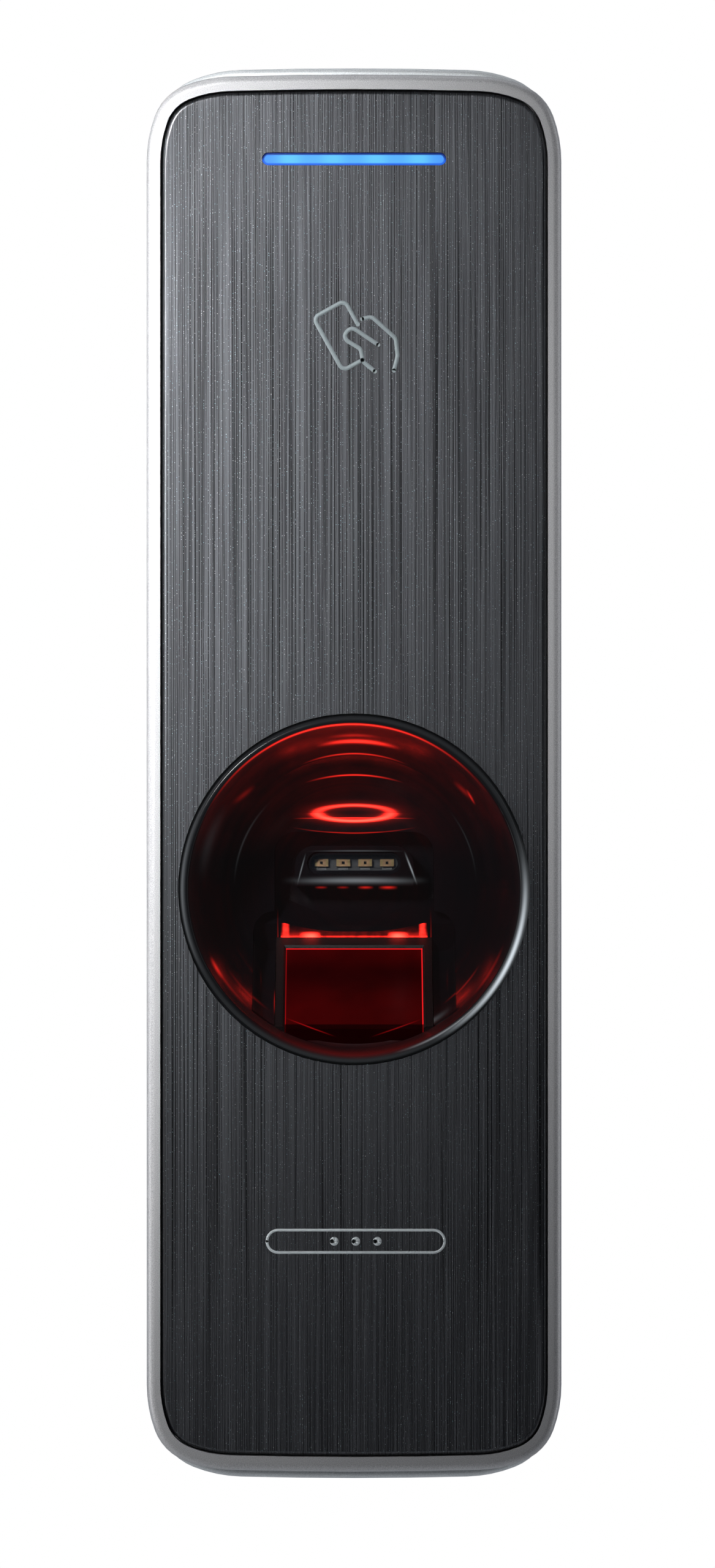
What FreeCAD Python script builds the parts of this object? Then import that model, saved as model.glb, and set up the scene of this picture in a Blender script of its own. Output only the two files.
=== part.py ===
"""Wall-mounted fingerprint and RFID card reader on its steel wall bracket, in millimetres.

The reader stands upright. +Z is up, +X is to the right as a user sees it, and the front faces -Y.
The wall plane is y = 0, and the origin is the middle of the bracket's wall face.

From front to back the reader is: a cast bezel with the front cover glued into it, a round finger
scoop with its optical fingerprint sensor, an antenna board, the main board, and a cast rear case.
The rear case hangs on four tongues of the bracket. A security screw in its lower edge stands under
the bracket's bottom flange, so that the reader can rise off the tongues only as the screw backs out.
"""

import FreeCAD
import Part
import math
import os

V = FreeCAD.Vector
os.makedirs("parts", exist_ok=True)

# ---------------------------------------------------------------- driving dimensions
BODY_W, BODY_H, BODY_D = 50.0, 172.0, 43.5  # the reader's outer size; depth is from the wall
BEZEL_H = 168.5  # the bezel is lower than the rear case behind it
BEZEL_FRONT, BEZEL_REAR = -43.2, -34.0
BEZEL_WALL = 2.6
FRAME_SIDE, FRAME_END = 1.65, 1.85  # visible width of the bezel beside and above the cover

COVER_FRONT, COVER_T = -43.1, 1.8
COVER_BACK = COVER_FRONT + COVER_T
COVER_GAP = 0.15
TAPE_T = 0.2
LEDGE_FRONT, LEDGE_T = COVER_BACK + TAPE_T, 2.0
LEDGE_W = 2.2

CASE_FRONT, CASE_REAR = -33.7, -0.6
CASE_DRAFT = 1.3  # how far the case narrows on each side from front to rear
CAVITY_INSET = 3.3  # from the bezel's outline
REAR_WALL_IN, REAR_WALL_OUT = -9.0, -6.5
POCKET_INSET = 3.8  # from the case's front outline
GROOVE_OUT, GROOVE_IN, GROOVE_DEPTH = 1.2, 2.4, 1.0

CORNER, LEAD_R, LEAD_DEG = 10.0, 16.0, 20.0  # a corner is a small arc between two larger ones
ARCH_R = 520.0  # the top and bottom edges are slightly arched

SCOOP_Z = -14.0  # height of the finger scoop's axis
SCOOP_HOLE_R, SCOOP_LIP_R, SCOOP_MOUTH_R = 21.2, 20.95, 19.9
SCOOP_FRONT = -BODY_D
SCOOP_WALL = 1.4
FLANGE_R, FLANGE_T = 21.9, 1.2
FLOOR_D, FLOOR_R = 20.2, 8.6  # the scoop's floor: depth behind its lip, and radius

PLATEN_DEG = 33.0  # slope of the sensor's glass from the horizontal
PLATEN_Z, PLATEN_D = -16.15, 6.0  # the glass's lower edge: height from the scoop's axis, and depth
GLASS_W, GLASS_L = 16.8, 16.2
SENSOR_W = 19.2
SHELF_S = 18.2  # where the fingertip shelf starts, along the slope
SHELF_H, SHELF_LOW, SHELF_R = 2.0, 0.6, 27.0
RECESS_HALF, RECESS_TOP, CHANNEL_HALF, CHANNEL_TOP = 9.8, 6.8, 12.4, -3.0
CHANNEL_D, CHANNEL_FLOOR, CHANNEL_WALL = 25.0, -2.0, 1.4

HOOD_W, HOOD_LOW, HOOD_HIGH, HOOD_D, HOOD_R = 14.6, 0.1, 5.1, 19.0, 2.4
WINDOW_W, WINDOW_H = 11.6, 2.8
WINDOW_MID = SCOOP_Z + 2.95
WINDOW_BACK, IR_BACK = 20.5, 22.6
IR_COUNT, IR_PITCH = 4, 2.7

SLOT_W, SLOT_H, SLOT_Z = 22.2, 1.55, 74.0  # status light
INDICATOR_COUNT, INDICATOR_PITCH = 5, 4.0

SCREW_X, SCREW_Z = 18.2, (72.0, 16.0, -42.0, -72.0)
STANDOFFS = [(x, z) for x in (-10.0, 10.0) for z in (-66.0, 66.0)]

PLATE_T, PLATE_HALF_W, PLATE_TOP, PLATE_BOTTOM = 1.5, 19.0, 70.0, -70.0
TONGUE_X, TONGUE_Z, TONGUE_W, TONGUE_H = 13.0, (52.0, -54.0), 8.0, 6.0
TONGUE_BACK = -3.2  # the upright leg stands between this and one plate thickness further forward
WALL_BOX_WIDE, WALL_BOX_NARROW, WALL_HOLE_R = 83.3, 60.0, 2.1
LOCK_Y = -4.2

GLAND_Z, GLAND_NECK_R, GLAND_BORE_R = 16.0, 5.0, 3.2
PLUNGER_X, RESET_X, BUTTON_Z = 12.0, -12.0, 38.0
PLUNGER_R, RESET_R, RUN_GAP = 2.0, 2.2, 0.08
TAMPER_IN, RESET_IN, DOME_H = -11.5, -10.3, 1.6  # inner ends of both pins, and height of their domes

BOARD_REAR, BOARD_T = -14.0, 1.6
ANTENNA_FRONT, ANTENNA_T = -37.2, 1.0


# ---------------------------------------------------------------- shared shapes
def box(x0, x1, y0, y1, z0, z1):
    return Part.makeBox(x1 - x0, y1 - y0, z1 - z0, V(x0, y0, z0))


def rod(x, z, r, y0, y1):
    """A cylinder along Y."""
    return Part.makeCylinder(r, y1 - y0, V(x, y0, z), V(0, 1, 0))


def post(x, y, r, z0, z1):
    """A cylinder along Z."""
    return Part.makeCylinder(r, z1 - z0, V(x, y, z0), V(0, 0, 1))


def fuse(first, *others):
    return first.multiFuse(list(others)).removeSplitter()


def stadium(cx, cz, w, h, y0, y1):
    """A bar with round ends along X, as a prism along Y."""
    half = (w - h) / 2
    middle = box(cx - half, cx + half, y0, y1, cz - h / 2, cz + h / 2)
    ends = [rod(cx + side * half, cz, h / 2, y0, y1) for side in (-1, 1)]
    return fuse(middle, *ends)


def round_box(x0, x1, y0, y1, z0, z1, r, along):
    """A box whose edges along one axis ("x", "y" or "z") are rounded."""
    solid = box(x0, x1, y0, y1, z0, z1)
    pick = {"x": 0, "y": 1, "z": 2}[along]
    edges = []
    for edge in solid.Edges:
        a, b = edge.Vertexes[0].Point, edge.Vertexes[1].Point
        if abs((b - a)[pick]) > 1e-6:
            edges.append(edge)
    return solid.makeFillet(r, edges)


def corner_arcs(half_w, half_h, corner, lead_r, lead_deg=LEAD_DEG, arch_r=ARCH_R):
    """Arcs of the outline's upper right quarter, each as (centre x, centre z, radius, from, to)."""
    a = math.radians(lead_deg)
    arch_half = half_w - corner
    g = math.acos(arch_half / arch_r)
    b = g - a
    spare = corner - lead_r * (1 - math.cos(a)) - lead_r * (math.cos(b) - math.cos(g))
    core_r = spare / (math.cos(a) - math.cos(b))
    rise = lead_r * (math.sin(a) + math.sin(g) - math.sin(b))
    rise += core_r * (math.sin(b) - math.sin(a)) + arch_r * (1 - math.sin(g))
    x, z = half_w, half_h - rise
    arcs = []
    for radius, start, stop in ((lead_r, 0.0, a), (core_r, a, b), (lead_r, b, g)):
        cx, cz = x - radius * math.cos(start), z - radius * math.sin(start)
        arcs.append((cx, cz, radius, start, stop))
        x, z = cx + radius * math.cos(stop), cz + radius * math.sin(stop)
    arcs.append((0.0, half_h - arch_r, arch_r, g, math.pi / 2))
    return arcs


def outline(y, inset, half_w, half_h, corner, lead_r):
    """The closed wire of a soft-cornered rectangle at depth y, moved inwards by inset."""
    quarter = corner_arcs(half_w, half_h, corner, lead_r)
    lead, core, tail, arch = quarter

    def flip(arc, sx, sz):
        cx, cz, r, start, stop = arc
        points = [
            V(sx * (cx + (r - inset) * math.cos(t)), y, sz * (cz + (r - inset) * math.sin(t)))
            for t in (start, (start + stop) / 2, stop)
        ]
        return points if sx * sz > 0 else points[::-1]

    top = (arch[0], arch[1], arch[2], arch[3], math.pi - arch[3])
    runs = [
        *[flip(arc, 1, 1) for arc in (lead, core, tail)],
        flip(top, 1, 1),
        *[flip(arc, -1, 1) for arc in (tail, core, lead)],
        *[flip(arc, -1, -1) for arc in (lead, core, tail)],
        flip(top, -1, -1),
        *[flip(arc, 1, -1) for arc in (tail, core, lead)],
    ]
    edges = []
    for index, run in enumerate(runs):
        edges.append(Part.Arc(*run).toShape())
        after = runs[(index + 1) % len(runs)][0]
        if run[2].distanceToPoint(after) > 1e-6:
            edges.append(Part.LineSegment(run[2], after).toShape())
    return Part.Wire(edges)


def bezel_outline(y, inset):
    return outline(y, inset, BODY_W / 2, BEZEL_H / 2, CORNER, LEAD_R)


def cover_outline(y, inset):
    half_w, half_h = BODY_W / 2 - FRAME_SIDE, BEZEL_H / 2 - FRAME_END
    return outline(y, inset, half_w, half_h, CORNER - FRAME_SIDE, LEAD_R - FRAME_SIDE)


def case_outline(y, inset):
    return outline(y, inset, BODY_W / 2 - 0.2, BODY_H / 2, CORNER + 1.0, LEAD_R + 1.0)


def slab(shape_outline, inset, y0, y1):
    """A prism along Y of one of the outlines."""
    return Part.Face(shape_outline(y0, inset)).extrude(V(0, y1 - y0, 0))


def edges_at(solid, y):
    """Edges that lie wholly at depth y."""
    return [e for e in solid.Edges if abs(e.BoundBox.YMin - y) < 1e-4 and abs(e.BoundBox.YMax - y) < 1e-4]


def spin(points_and_arcs, z):
    """Revolves a closed (radius, y) profile about the Y axis at height z."""
    edges = []
    for item in points_and_arcs:
        pts = [V(r, y, 0) for r, y in item]
        edges.append(Part.Arc(*pts).toShape() if len(pts) == 3 else Part.LineSegment(*pts).toShape())
    face = Part.Face(Part.Wire(Part.__sortEdges__(edges)))
    solid = face.revolve(V(0, 0, 0), V(0, 1, 0), 360)
    solid.translate(V(0, 0, z))
    return solid


def on_platen(shape):
    """Moves a shape built as (x, along the slope, above the glass) onto the sensor's slope."""
    shape = shape.copy()
    turn = FreeCAD.Rotation(V(1, 0, 0), PLATEN_DEG)
    place = FreeCAD.Placement(V(0, SCOOP_FRONT + PLATEN_D, SCOOP_Z + PLATEN_Z), turn)
    shape.Placement = place.multiply(shape.Placement)
    return shape


def depth(d):
    """The y of a point d behind the scoop's lip."""
    return SCOOP_FRONT + d


nodes = {}


# ---------------------------------------------------------------- wall bracket (fixed body)
def make_bracket():
    """Laser-cut 1.5 mm steel: a flat plate, four tongues bent forward and up, and a bottom flange."""
    plate = round_box(-PLATE_HALF_W, PLATE_HALF_W, -PLATE_T, 0, PLATE_BOTTOM, PLATE_TOP, 4.0, "y")
    window = round_box(-11, 11, -3, 1, 5, 26, 2.5, "y")
    holes = [
        rod(0, side * spacing / 2, WALL_HOLE_R, -3, 1)
        for spacing in (WALL_BOX_WIDE, WALL_BOX_NARROW)
        for side in (-1, 1)
    ]
    plate = plate.cut(fuse(window, *holes))
    extras = []
    for z in TONGUE_Z:
        for side in (-1, 1):
            x0 = side * TONGUE_X - TONGUE_W / 2
            leg = box(x0, x0 + TONGUE_W, TONGUE_BACK - PLATE_T, 0, z, z + PLATE_T)
            upright = box(x0, x0 + TONGUE_W, TONGUE_BACK - PLATE_T, TONGUE_BACK, z, z + TONGUE_H)
            extras += [leg, upright]
    extras.append(box(-6, 6, -6.0, 0, PLATE_BOTTOM, PLATE_BOTTOM + PLATE_T))
    return fuse(plate, *extras)


nodes["wall_bracket"] = make_bracket()


# ---------------------------------------------------------------- rear case
def staple(side, z):
    """A block on the rear wall with a slot, open below, that drops over one tongue."""
    x0, x1 = side * TONGUE_X - 5.5, side * TONGUE_X + 5.5
    block = round_box(x0, x1, REAR_WALL_OUT - 0.5, -1.8, z + 1.9, z + 10.0, 0.8, "y")
    slot = box(
        x0 + 1.1, x1 - 1.1, TONGUE_BACK - PLATE_T - 0.25, TONGUE_BACK + 0.25, z, z + TONGUE_H + 0.05
    )
    return block.cut(slot)


def make_rear_case():
    """Cast aluminium tub, open at the front, with a shallow pocket behind for the bracket."""
    tub = Part.makeLoft(
        [case_outline(CASE_FRONT, 0.0), case_outline(CASE_REAR, CASE_DRAFT)], True, True
    )
    tub = tub.makeFillet(0.7, edges_at(tub, CASE_FRONT))
    tub = tub.makeFillet(0.9, edges_at(tub, CASE_REAR))
    tub = tub.cut(slab(bezel_outline, CAVITY_INSET, CASE_FRONT - 1, REAR_WALL_IN))
    tub = tub.cut(slab(case_outline, POCKET_INSET, REAR_WALL_OUT, 1))
    groove = slab(bezel_outline, GROOVE_OUT, CASE_FRONT - 1, CASE_FRONT + GROOVE_DEPTH)
    groove = groove.cut(slab(bezel_outline, GROOVE_IN, CASE_FRONT - 2, CASE_FRONT + 2))
    tub = tub.cut(groove)

    bosses = [rod(side * SCREW_X, z, 3.6, CASE_FRONT, REAR_WALL_IN) for side in (-1, 1) for z in SCREW_Z]
    posts = [rod(x, z, 2.4, BOARD_REAR, REAR_WALL_IN) for x, z in STANDOFFS]
    staples = [staple(side, z) for side in (-1, 1) for z in TONGUE_Z]
    lock_boss = box(-4, 4, REAR_WALL_OUT - 0.5, -1.7, -83.0, -78.5)
    tub = fuse(tub, *bosses, *posts, *staples, lock_boss)

    cuts = []
    for side in (-1, 1):
        for z in SCREW_Z:
            cuts.append(rod(side * SCREW_X, z, 1.45, CASE_FRONT - 1, 0))
            cuts.append(rod(side * SCREW_X, z, 2.6, -26.0, 0))
    cuts += [rod(x, z, 1.0, BOARD_REAR - 1, REAR_WALL_IN + 1.0) for x, z in STANDOFFS]
    cuts.append(rod(0, GLAND_Z, GLAND_NECK_R, -12, 0))
    cuts.append(rod(PLUNGER_X, BUTTON_Z, PLUNGER_R + RUN_GAP, -12, 0))
    cuts.append(rod(RESET_X, BUTTON_Z, RESET_R + RUN_GAP, -12, 0))
    cuts.append(post(0, LOCK_Y, 2.7, -90, -82.3))
    cuts.append(post(0, LOCK_Y, 2.2, -82.4, -79.0))
    cuts.append(post(0, LOCK_Y, 1.65, -80, -78))
    return tub.cut(fuse(*cuts))


nodes["rear_case"] = make_rear_case()


# ---------------------------------------------------------------- bezel and front cover
def make_bezel():
    """Cast ring with a ledge that the cover is glued to and a seat for the scoop's flange."""
    ring = slab(bezel_outline, 0.0, BEZEL_FRONT, BEZEL_REAR)
    ring = ring.makeFillet(1.0, edges_at(ring, BEZEL_FRONT))
    ring = ring.makeFillet(0.3, edges_at(ring, BEZEL_REAR))
    ring = ring.cut(slab(cover_outline, 0.0, BEZEL_FRONT - 1, LEDGE_FRONT))
    ring = ring.cut(slab(bezel_outline, BEZEL_WALL, LEDGE_FRONT + LEDGE_T, 0))
    opening = slab(cover_outline, LEDGE_W, BEZEL_FRONT - 1, 0)
    deck = rod(0, SCOOP_Z, 24.5, LEDGE_FRONT, LEDGE_FRONT + 3.0)
    ring = ring.cut(opening.cut(deck))
    wall_limit = slab(bezel_outline, BEZEL_WALL - 0.1, LEDGE_FRONT, LEDGE_FRONT + 3.0)
    ring = fuse(ring, deck.common(wall_limit))
    seat = rod(0, SCOOP_Z, 22.0, LEDGE_FRONT - 1, COVER_BACK + FLANGE_T + 0.4)
    ring = ring.cut(fuse(seat, rod(0, SCOOP_Z, 20.9, LEDGE_FRONT - 1, 0)))

    lugs = []
    for side in (-1, 1):
        for z in SCREW_Z:
            lug = rod(side * SCREW_X, z, 3.3, LEDGE_FRONT, BEZEL_REAR)
            x0, x1 = sorted((side * SCREW_X, side * 22.6))
            web = box(x0, x1, LEDGE_FRONT, BEZEL_REAR, z - 2.0, z + 2.0)
            lugs += [lug, web]
    ring = fuse(ring, *lugs)
    pilots = [rod(s * SCREW_X, z, 1.15, -39.5, 0) for s in (-1, 1) for z in SCREW_Z]
    return ring.cut(fuse(*pilots))


def make_cover():
    """Moulded front cover with a rounded rim, the scoop's hole and the status light's slot."""
    plate = slab(cover_outline, COVER_GAP, COVER_FRONT, COVER_BACK)
    plate = plate.makeFillet(0.6, edges_at(plate, COVER_FRONT))
    hole = rod(0, SCOOP_Z, SCOOP_HOLE_R, -50, 0)
    return plate.cut(fuse(hole, stadium(0, SLOT_Z, SLOT_W, SLOT_H, -50, 0)))


def make_tape():
    """Double-sided tape ring between the cover and the bezel's ledge."""
    ring = slab(cover_outline, 0.3, COVER_BACK, LEDGE_FRONT)
    ring = ring.cut(slab(cover_outline, LEDGE_W - 0.2, COVER_BACK - 1, 0))
    return ring.cut(rod(0, SCOOP_Z, 22.1, -50, 0))


def make_gasket():
    """Silicone cord in the rear case's groove, pressed flat by the bezel."""
    cord = slab(bezel_outline, GROOVE_OUT, BEZEL_REAR, CASE_FRONT + GROOVE_DEPTH)
    return cord.cut(slab(bezel_outline, GROOVE_IN, BEZEL_REAR - 1, 0))


nodes["front_bezel"] = make_bezel()
nodes["front_cover"] = make_cover()
nodes["cover_tape"] = make_tape()
nodes["case_gasket"] = make_gasket()


# ---------------------------------------------------------------- finger scoop
LIP = (SCOOP_LIP_R - SCOOP_MOUTH_R) / 2
BOWL = [
    [(SCOOP_MOUTH_R, depth(LIP)), (18.7, depth(7.0)), (16.2, depth(13.0))],
    [(16.2, depth(13.0)), (13.0, depth(17.6)), (FLOOR_R, depth(FLOOR_D))],
    [(FLOOR_R, depth(FLOOR_D)), (0, depth(FLOOR_D))],
]


def make_dish():
    """The round dish: rolled lip, flange, concave wall and flat floor."""
    lip_mid = (SCOOP_LIP_R + SCOOP_MOUTH_R) / 2
    flange_front, flange_back, back = COVER_BACK, COVER_BACK + FLANGE_T, depth(FLOOR_D + SCOOP_WALL)
    profile = [
        [(SCOOP_LIP_R, depth(LIP)), (lip_mid, depth(0)), (SCOOP_MOUTH_R, depth(LIP))],
        *BOWL,
        [(0, depth(FLOOR_D)), (0, back)],
        [(0, back), (FLOOR_R + 0.6, back)],
        [(FLOOR_R + 0.6, back), (14.2, depth(18.4)), (17.6, depth(13.4))],
        [(17.6, depth(13.4)), (19.7, depth(8.6)), (20.6, depth(5.2))],
        [(20.6, depth(5.2)), (20.6, flange_back)],
        [(20.6, flange_back), (FLANGE_R, flange_back)],
        [(FLANGE_R, flange_back), (FLANGE_R, flange_front)],
        [(FLANGE_R, flange_front), (SCOOP_LIP_R, flange_front)],
        [(SCOOP_LIP_R, flange_front), (SCOOP_LIP_R, depth(LIP))],
    ]
    return spin(profile, SCOOP_Z)


def inside_dish():
    """The dish's hollow, as a solid."""
    profile = [
        [(0, depth(-5)), (SCOOP_MOUTH_R, depth(-5))],
        [(SCOOP_MOUTH_R, depth(-5)), (SCOOP_MOUTH_R, depth(LIP))],
        *BOWL,
        [(0, depth(FLOOR_D)), (0, depth(-5))],
    ]
    return spin(profile, SCOOP_Z)


def hood_prism(d0, d1):
    """The infrared hood's outline, straight below and rounded above, as a prism along Y."""
    half, r = HOOD_W / 2, HOOD_R
    low, high = SCOOP_Z + HOOD_LOW, SCOOP_Z + HOOD_HIGH
    bow = r * math.sin(math.radians(45))
    outline_edges = [
        Part.LineSegment(V(-half, depth(d0), low), V(half, depth(d0), low)),
        Part.LineSegment(V(half, depth(d0), low), V(half, depth(d0), high - r)),
        Part.Arc(
            V(half, depth(d0), high - r),
            V(half - r + bow, depth(d0), high - r + bow),
            V(half - r, depth(d0), high),
        ),
        Part.LineSegment(V(half - r, depth(d0), high), V(r - half, depth(d0), high)),
        Part.Arc(
            V(r - half, depth(d0), high),
            V(r - half - bow, depth(d0), high - r + bow),
            V(-half, depth(d0), high - r),
        ),
        Part.LineSegment(V(-half, depth(d0), high - r), V(-half, depth(d0), low)),
    ]
    wire = Part.Wire([edge.toShape() for edge in outline_edges])
    return Part.Face(wire).extrude(V(0, d1 - d0, 0))


def finger_channel():
    """The hollow behind the bowl: a wide channel round the sensor and a narrower recess above it."""
    wide = on_platen(
        round_box(-CHANNEL_HALF, CHANNEL_HALF, -20, 30, CHANNEL_FLOOR, 24, 1.5, "y")
    )
    wide = wide.common(
        round_box(
            -CHANNEL_HALF, CHANNEL_HALF, depth(-2), depth(CHANNEL_D),
            SCOOP_Z - 28, SCOOP_Z + CHANNEL_TOP, 2.5, "y",
        )
    )
    recess = round_box(
        -RECESS_HALF, RECESS_HALF, depth(-2), depth(CHANNEL_D), SCOOP_Z - 9, SCOOP_Z + RECESS_TOP, 2.6, "y"
    )
    recess = recess.cut(on_platen(box(-20, 20, -30, 40, -30, CHANNEL_FLOOR)))
    mouth = rod(0, SCOOP_Z, SCOOP_MOUTH_R - 0.6, depth(-2), depth(30))
    return fuse(wide, recess).common(mouth)


def make_scoop():
    """Dish, finger channel with its fingertip shelf, and the infrared hood, as one moulding."""
    back = CHANNEL_D + CHANNEL_WALL
    outer_half, recess_half = CHANNEL_HALF + CHANNEL_WALL, RECESS_HALF + CHANNEL_WALL
    recess_top = SCOOP_Z + RECESS_TOP + CHANNEL_WALL
    outer = fuse(
        box(-recess_half, recess_half, depth(12), depth(back), SCOOP_Z - 9, recess_top),
        on_platen(box(-outer_half, outer_half, -2.0, 25.5, CHANNEL_FLOOR - CHANNEL_WALL, 6.0)),
    )
    back_limit = box(-30, 30, depth(4.6), depth(back), SCOOP_Z - 30, SCOOP_Z + 30)
    deck_back = LEDGE_FRONT + 3.2
    beside_deck = box(-30, 30, -50, deck_back, SCOOP_Z - 30, SCOOP_Z + 30)
    beside_deck = beside_deck.cut(rod(0, SCOOP_Z, 20.4, -51, deck_back + 1))
    outer = outer.common(back_limit).cut(beside_deck)
    body = fuse(make_dish(), outer).cut(inside_dish()).cut(finger_channel())

    shelf = on_platen(box(-CHANNEL_HALF, CHANNEL_HALF, SHELF_S, 32.0, CHANNEL_FLOOR - 0.5, SHELF_H))
    groove = on_platen(
        Part.makeCylinder(SHELF_R, 20.0, V(0, SHELF_S - 2, SHELF_LOW + SHELF_R), V(0, 1, 0))
    )
    sweep = Part.makeCylinder(4.4, 40, V(-20, depth(CHANNEL_D - 4.4), SCOOP_Z - 0.6), V(1, 0, 0))
    heel_d0, heel_d1 = depth(CHANNEL_D - 4.0), depth(CHANNEL_D + 0.5)
    heel = box(-CHANNEL_HALF, CHANNEL_HALF, heel_d0, heel_d1, SCOOP_Z - 9, SCOOP_Z - 0.6)
    heel = heel.cut(sweep).cut(on_platen(box(-20, 20, -5, 40, -20, SHELF_LOW)))
    hood = hood_prism(HOOD_D, CHANNEL_D + 0.5)
    front_edges = edges_at(hood, depth(HOOD_D))
    low_edge = [e for e in front_edges if e.BoundBox.ZMax < SCOOP_Z + HOOD_LOW + 0.01]
    hood = hood.makeChamfer(0.7, low_edge)
    inner = fuse(shelf.cut(groove), heel).common(back_limit)
    body = fuse(body, inner, hood)
    body = body.cut(stadium(0, WINDOW_MID, WINDOW_W, WINDOW_H, depth(HOOD_D - 1), depth(WINDOW_BACK)))
    body = body.cut(stadium(0, WINDOW_MID, WINDOW_W - 0.8, WINDOW_H - 0.8, depth(20), depth(IR_BACK)))
    return body.cut(on_platen(box(-SENSOR_W / 2 - 0.1, SENSOR_W / 2 + 0.1, -1.1, SHELF_S, -14, 3)))


nodes["finger_scoop"] = make_scoop()
nodes["scoop_seal"] = rod(0, SCOOP_Z, 21.9, COVER_BACK + FLANGE_T, COVER_BACK + FLANGE_T + 0.4).cut(
    rod(0, SCOOP_Z, 20.9, -50, 0)
)


# ---------------------------------------------------------------- fingerprint sensor
def make_sensor_frame():
    """Matt frame round three sides of the glass prism; its rim stands just above the glass."""
    half, glass = SENSOR_W / 2, GLASS_W / 2 + 0.02
    block = box(-half, half, -1.0, SHELF_S - 0.05, -5.0, 0.0)
    rim = block.cut(box(-glass, glass, -2.0, GLASS_L + 0.02, -6.0, 1.0))
    bevel = []
    for edge in rim.Edges:
        middle, length = edge.CenterOfMass, edge.Length
        inner = abs(middle.x) < half - 0.5 and middle.y < SHELF_S - 0.5
        if abs(middle.z) < 1e-6 and inner and length > 10:
            bevel.append(edge)
    return on_platen(rim.makeChamfer(0.25, bevel))


def make_prism():
    """Glass prism: the finger lies on its top face."""
    half = GLASS_W / 2
    side = Part.makePolygon(
        [
            V(-half, -1.0, -0.35),
            V(-half, GLASS_L, -0.35),
            V(-half, GLASS_L - 5.4, -6.5),
            V(-half, 2.0, -8.8),
            V(-half, -0.1, -6.0),
            V(-half, -0.1, -4.9),
            V(-half, -1.0, -4.9),
            V(-half, -1.0, -0.35),
        ]
    )
    return on_platen(Part.Face(side).extrude(V(GLASS_W, 0, 0)))


def make_module():
    """Closed box under the prism that carries the lens, the red lamps and the camera board."""
    shell = box(-9.4, 9.4, -0.9, SHELF_S - 0.2, -10.6, -5.0)
    hollow = box(-8.7, 8.7, -0.2, SHELF_S - 0.9, -9.8, -4.0)
    return on_platen(shell.cut(hollow))


nodes["sensor_frame"] = make_sensor_frame()
nodes["sensor_prism"] = make_prism()
nodes["sensor_housing"] = make_module()
nodes["sensor_lens"] = on_platen(Part.makeCone(1.2, 1.5, 1.6, V(0, 13.6, -6.6), V(0, 1, 0)))
nodes["sensor_board"] = on_platen(box(-8.7, 8.7, 15.2, 16.2, -9.8, -5.2))
nodes["sensor_lamps"] = Part.makeCompound(
    [on_platen(box(x - 1.0, x + 1.0, -0.2, 0.8, -9.8, -8.4)) for x in (-6.0, -2.0, 2.0, 6.0)]
)


# ---------------------------------------------------------------- infrared lamp window
nodes["ir_window"] = stadium(
    0, WINDOW_MID, WINDOW_W - 0.04, WINDOW_H - 0.04, depth(WINDOW_BACK - 1.1), depth(WINDOW_BACK)
)
nodes["ir_board"] = stadium(
    0, WINDOW_MID, WINDOW_W - 0.9, WINDOW_H - 0.9, depth(IR_BACK - 0.8), depth(IR_BACK)
)
ir_front, ir_back = depth(IR_BACK - 1.35), depth(IR_BACK - 0.8)
nodes["ir_lamps"] = Part.makeCompound(
    [
        box(x - 0.85, x + 0.85, ir_front, ir_back, WINDOW_MID - 0.45, WINDOW_MID + 0.45)
        for x in [(i - (IR_COUNT - 1) / 2) * IR_PITCH for i in range(IR_COUNT)]
    ]
)


# ---------------------------------------------------------------- status light and antenna
nodes["light_guide"] = fuse(
    stadium(0, SLOT_Z, SLOT_W - 0.1, SLOT_H - 0.1, COVER_FRONT + 0.3, COVER_BACK),
    stadium(0, SLOT_Z, SLOT_W + 2.4, SLOT_H + 2.2, COVER_BACK, COVER_BACK + 0.8),
    stadium(0, SLOT_Z, SLOT_W - 0.1, SLOT_H - 0.1, COVER_BACK + 0.8, ANTENNA_FRONT - 1.0),
)
nodes["indicator_lamps"] = Part.makeCompound(
    [
        box(x - 1.5, x + 1.5, ANTENNA_FRONT - 0.8, ANTENNA_FRONT, SLOT_Z - 0.7, SLOT_Z + 0.7)
        for x in [(i - (INDICATOR_COUNT - 1) / 2) * INDICATOR_PITCH for i in range(INDICATOR_COUNT)]
    ]
)


def notched_board(half_w, z0, z1, y0, y1, reach, screw_heights):
    """A board with rectangular notches that clear the screw columns."""
    board = round_box(-half_w, half_w, y0, y1, z0, z1, 2.0, "y")
    notches = []
    for side in (-1, 1):
        for z in screw_heights:
            x0, x1 = sorted((side * (SCREW_X - reach), side * (half_w + 1)))
            notches.append(box(x0, x1, y0 - 1, y1 + 1, z - reach, z + reach))
    return board.cut(fuse(*notches))


nodes["antenna_board"] = notched_board(
    20.0, 11.0, 78.5, ANTENNA_FRONT, ANTENNA_FRONT + ANTENNA_T, 4.1, SCREW_Z[:2]
)


def make_coil():
    """Four nested copper loops on the front of the antenna board."""
    loops = []
    y0, y1, middle, width = ANTENNA_FRONT - 0.1, ANTENNA_FRONT, 45.0, 0.8
    for turn in range(4):
        w, h = 13.2 - 1.4 * turn, 21.5 - 1.4 * turn
        ring = box(-w, w, y0, y1, middle - h, middle + h)
        inner = box(-w + width, w - width, y0 - 1, y1 + 1, middle - h + width, middle + h - width)
        loops.append(ring.cut(inner))
    return Part.makeCompound(loops)


nodes["antenna_coil"] = make_coil()
nodes["antenna_pads"] = Part.makeCompound(
    [box(x - 3, x + 3, COVER_BACK, ANTENNA_FRONT, z - 2, z + 2) for x in (-8.0, 8.0) for z in (18.0, 69.5)]
)
nodes["ferrite_sheet"] = box(-14, 14, ANTENNA_FRONT + ANTENNA_T, ANTENNA_FRONT + ANTENNA_T + 0.3, 22.5, 67.5)


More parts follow.
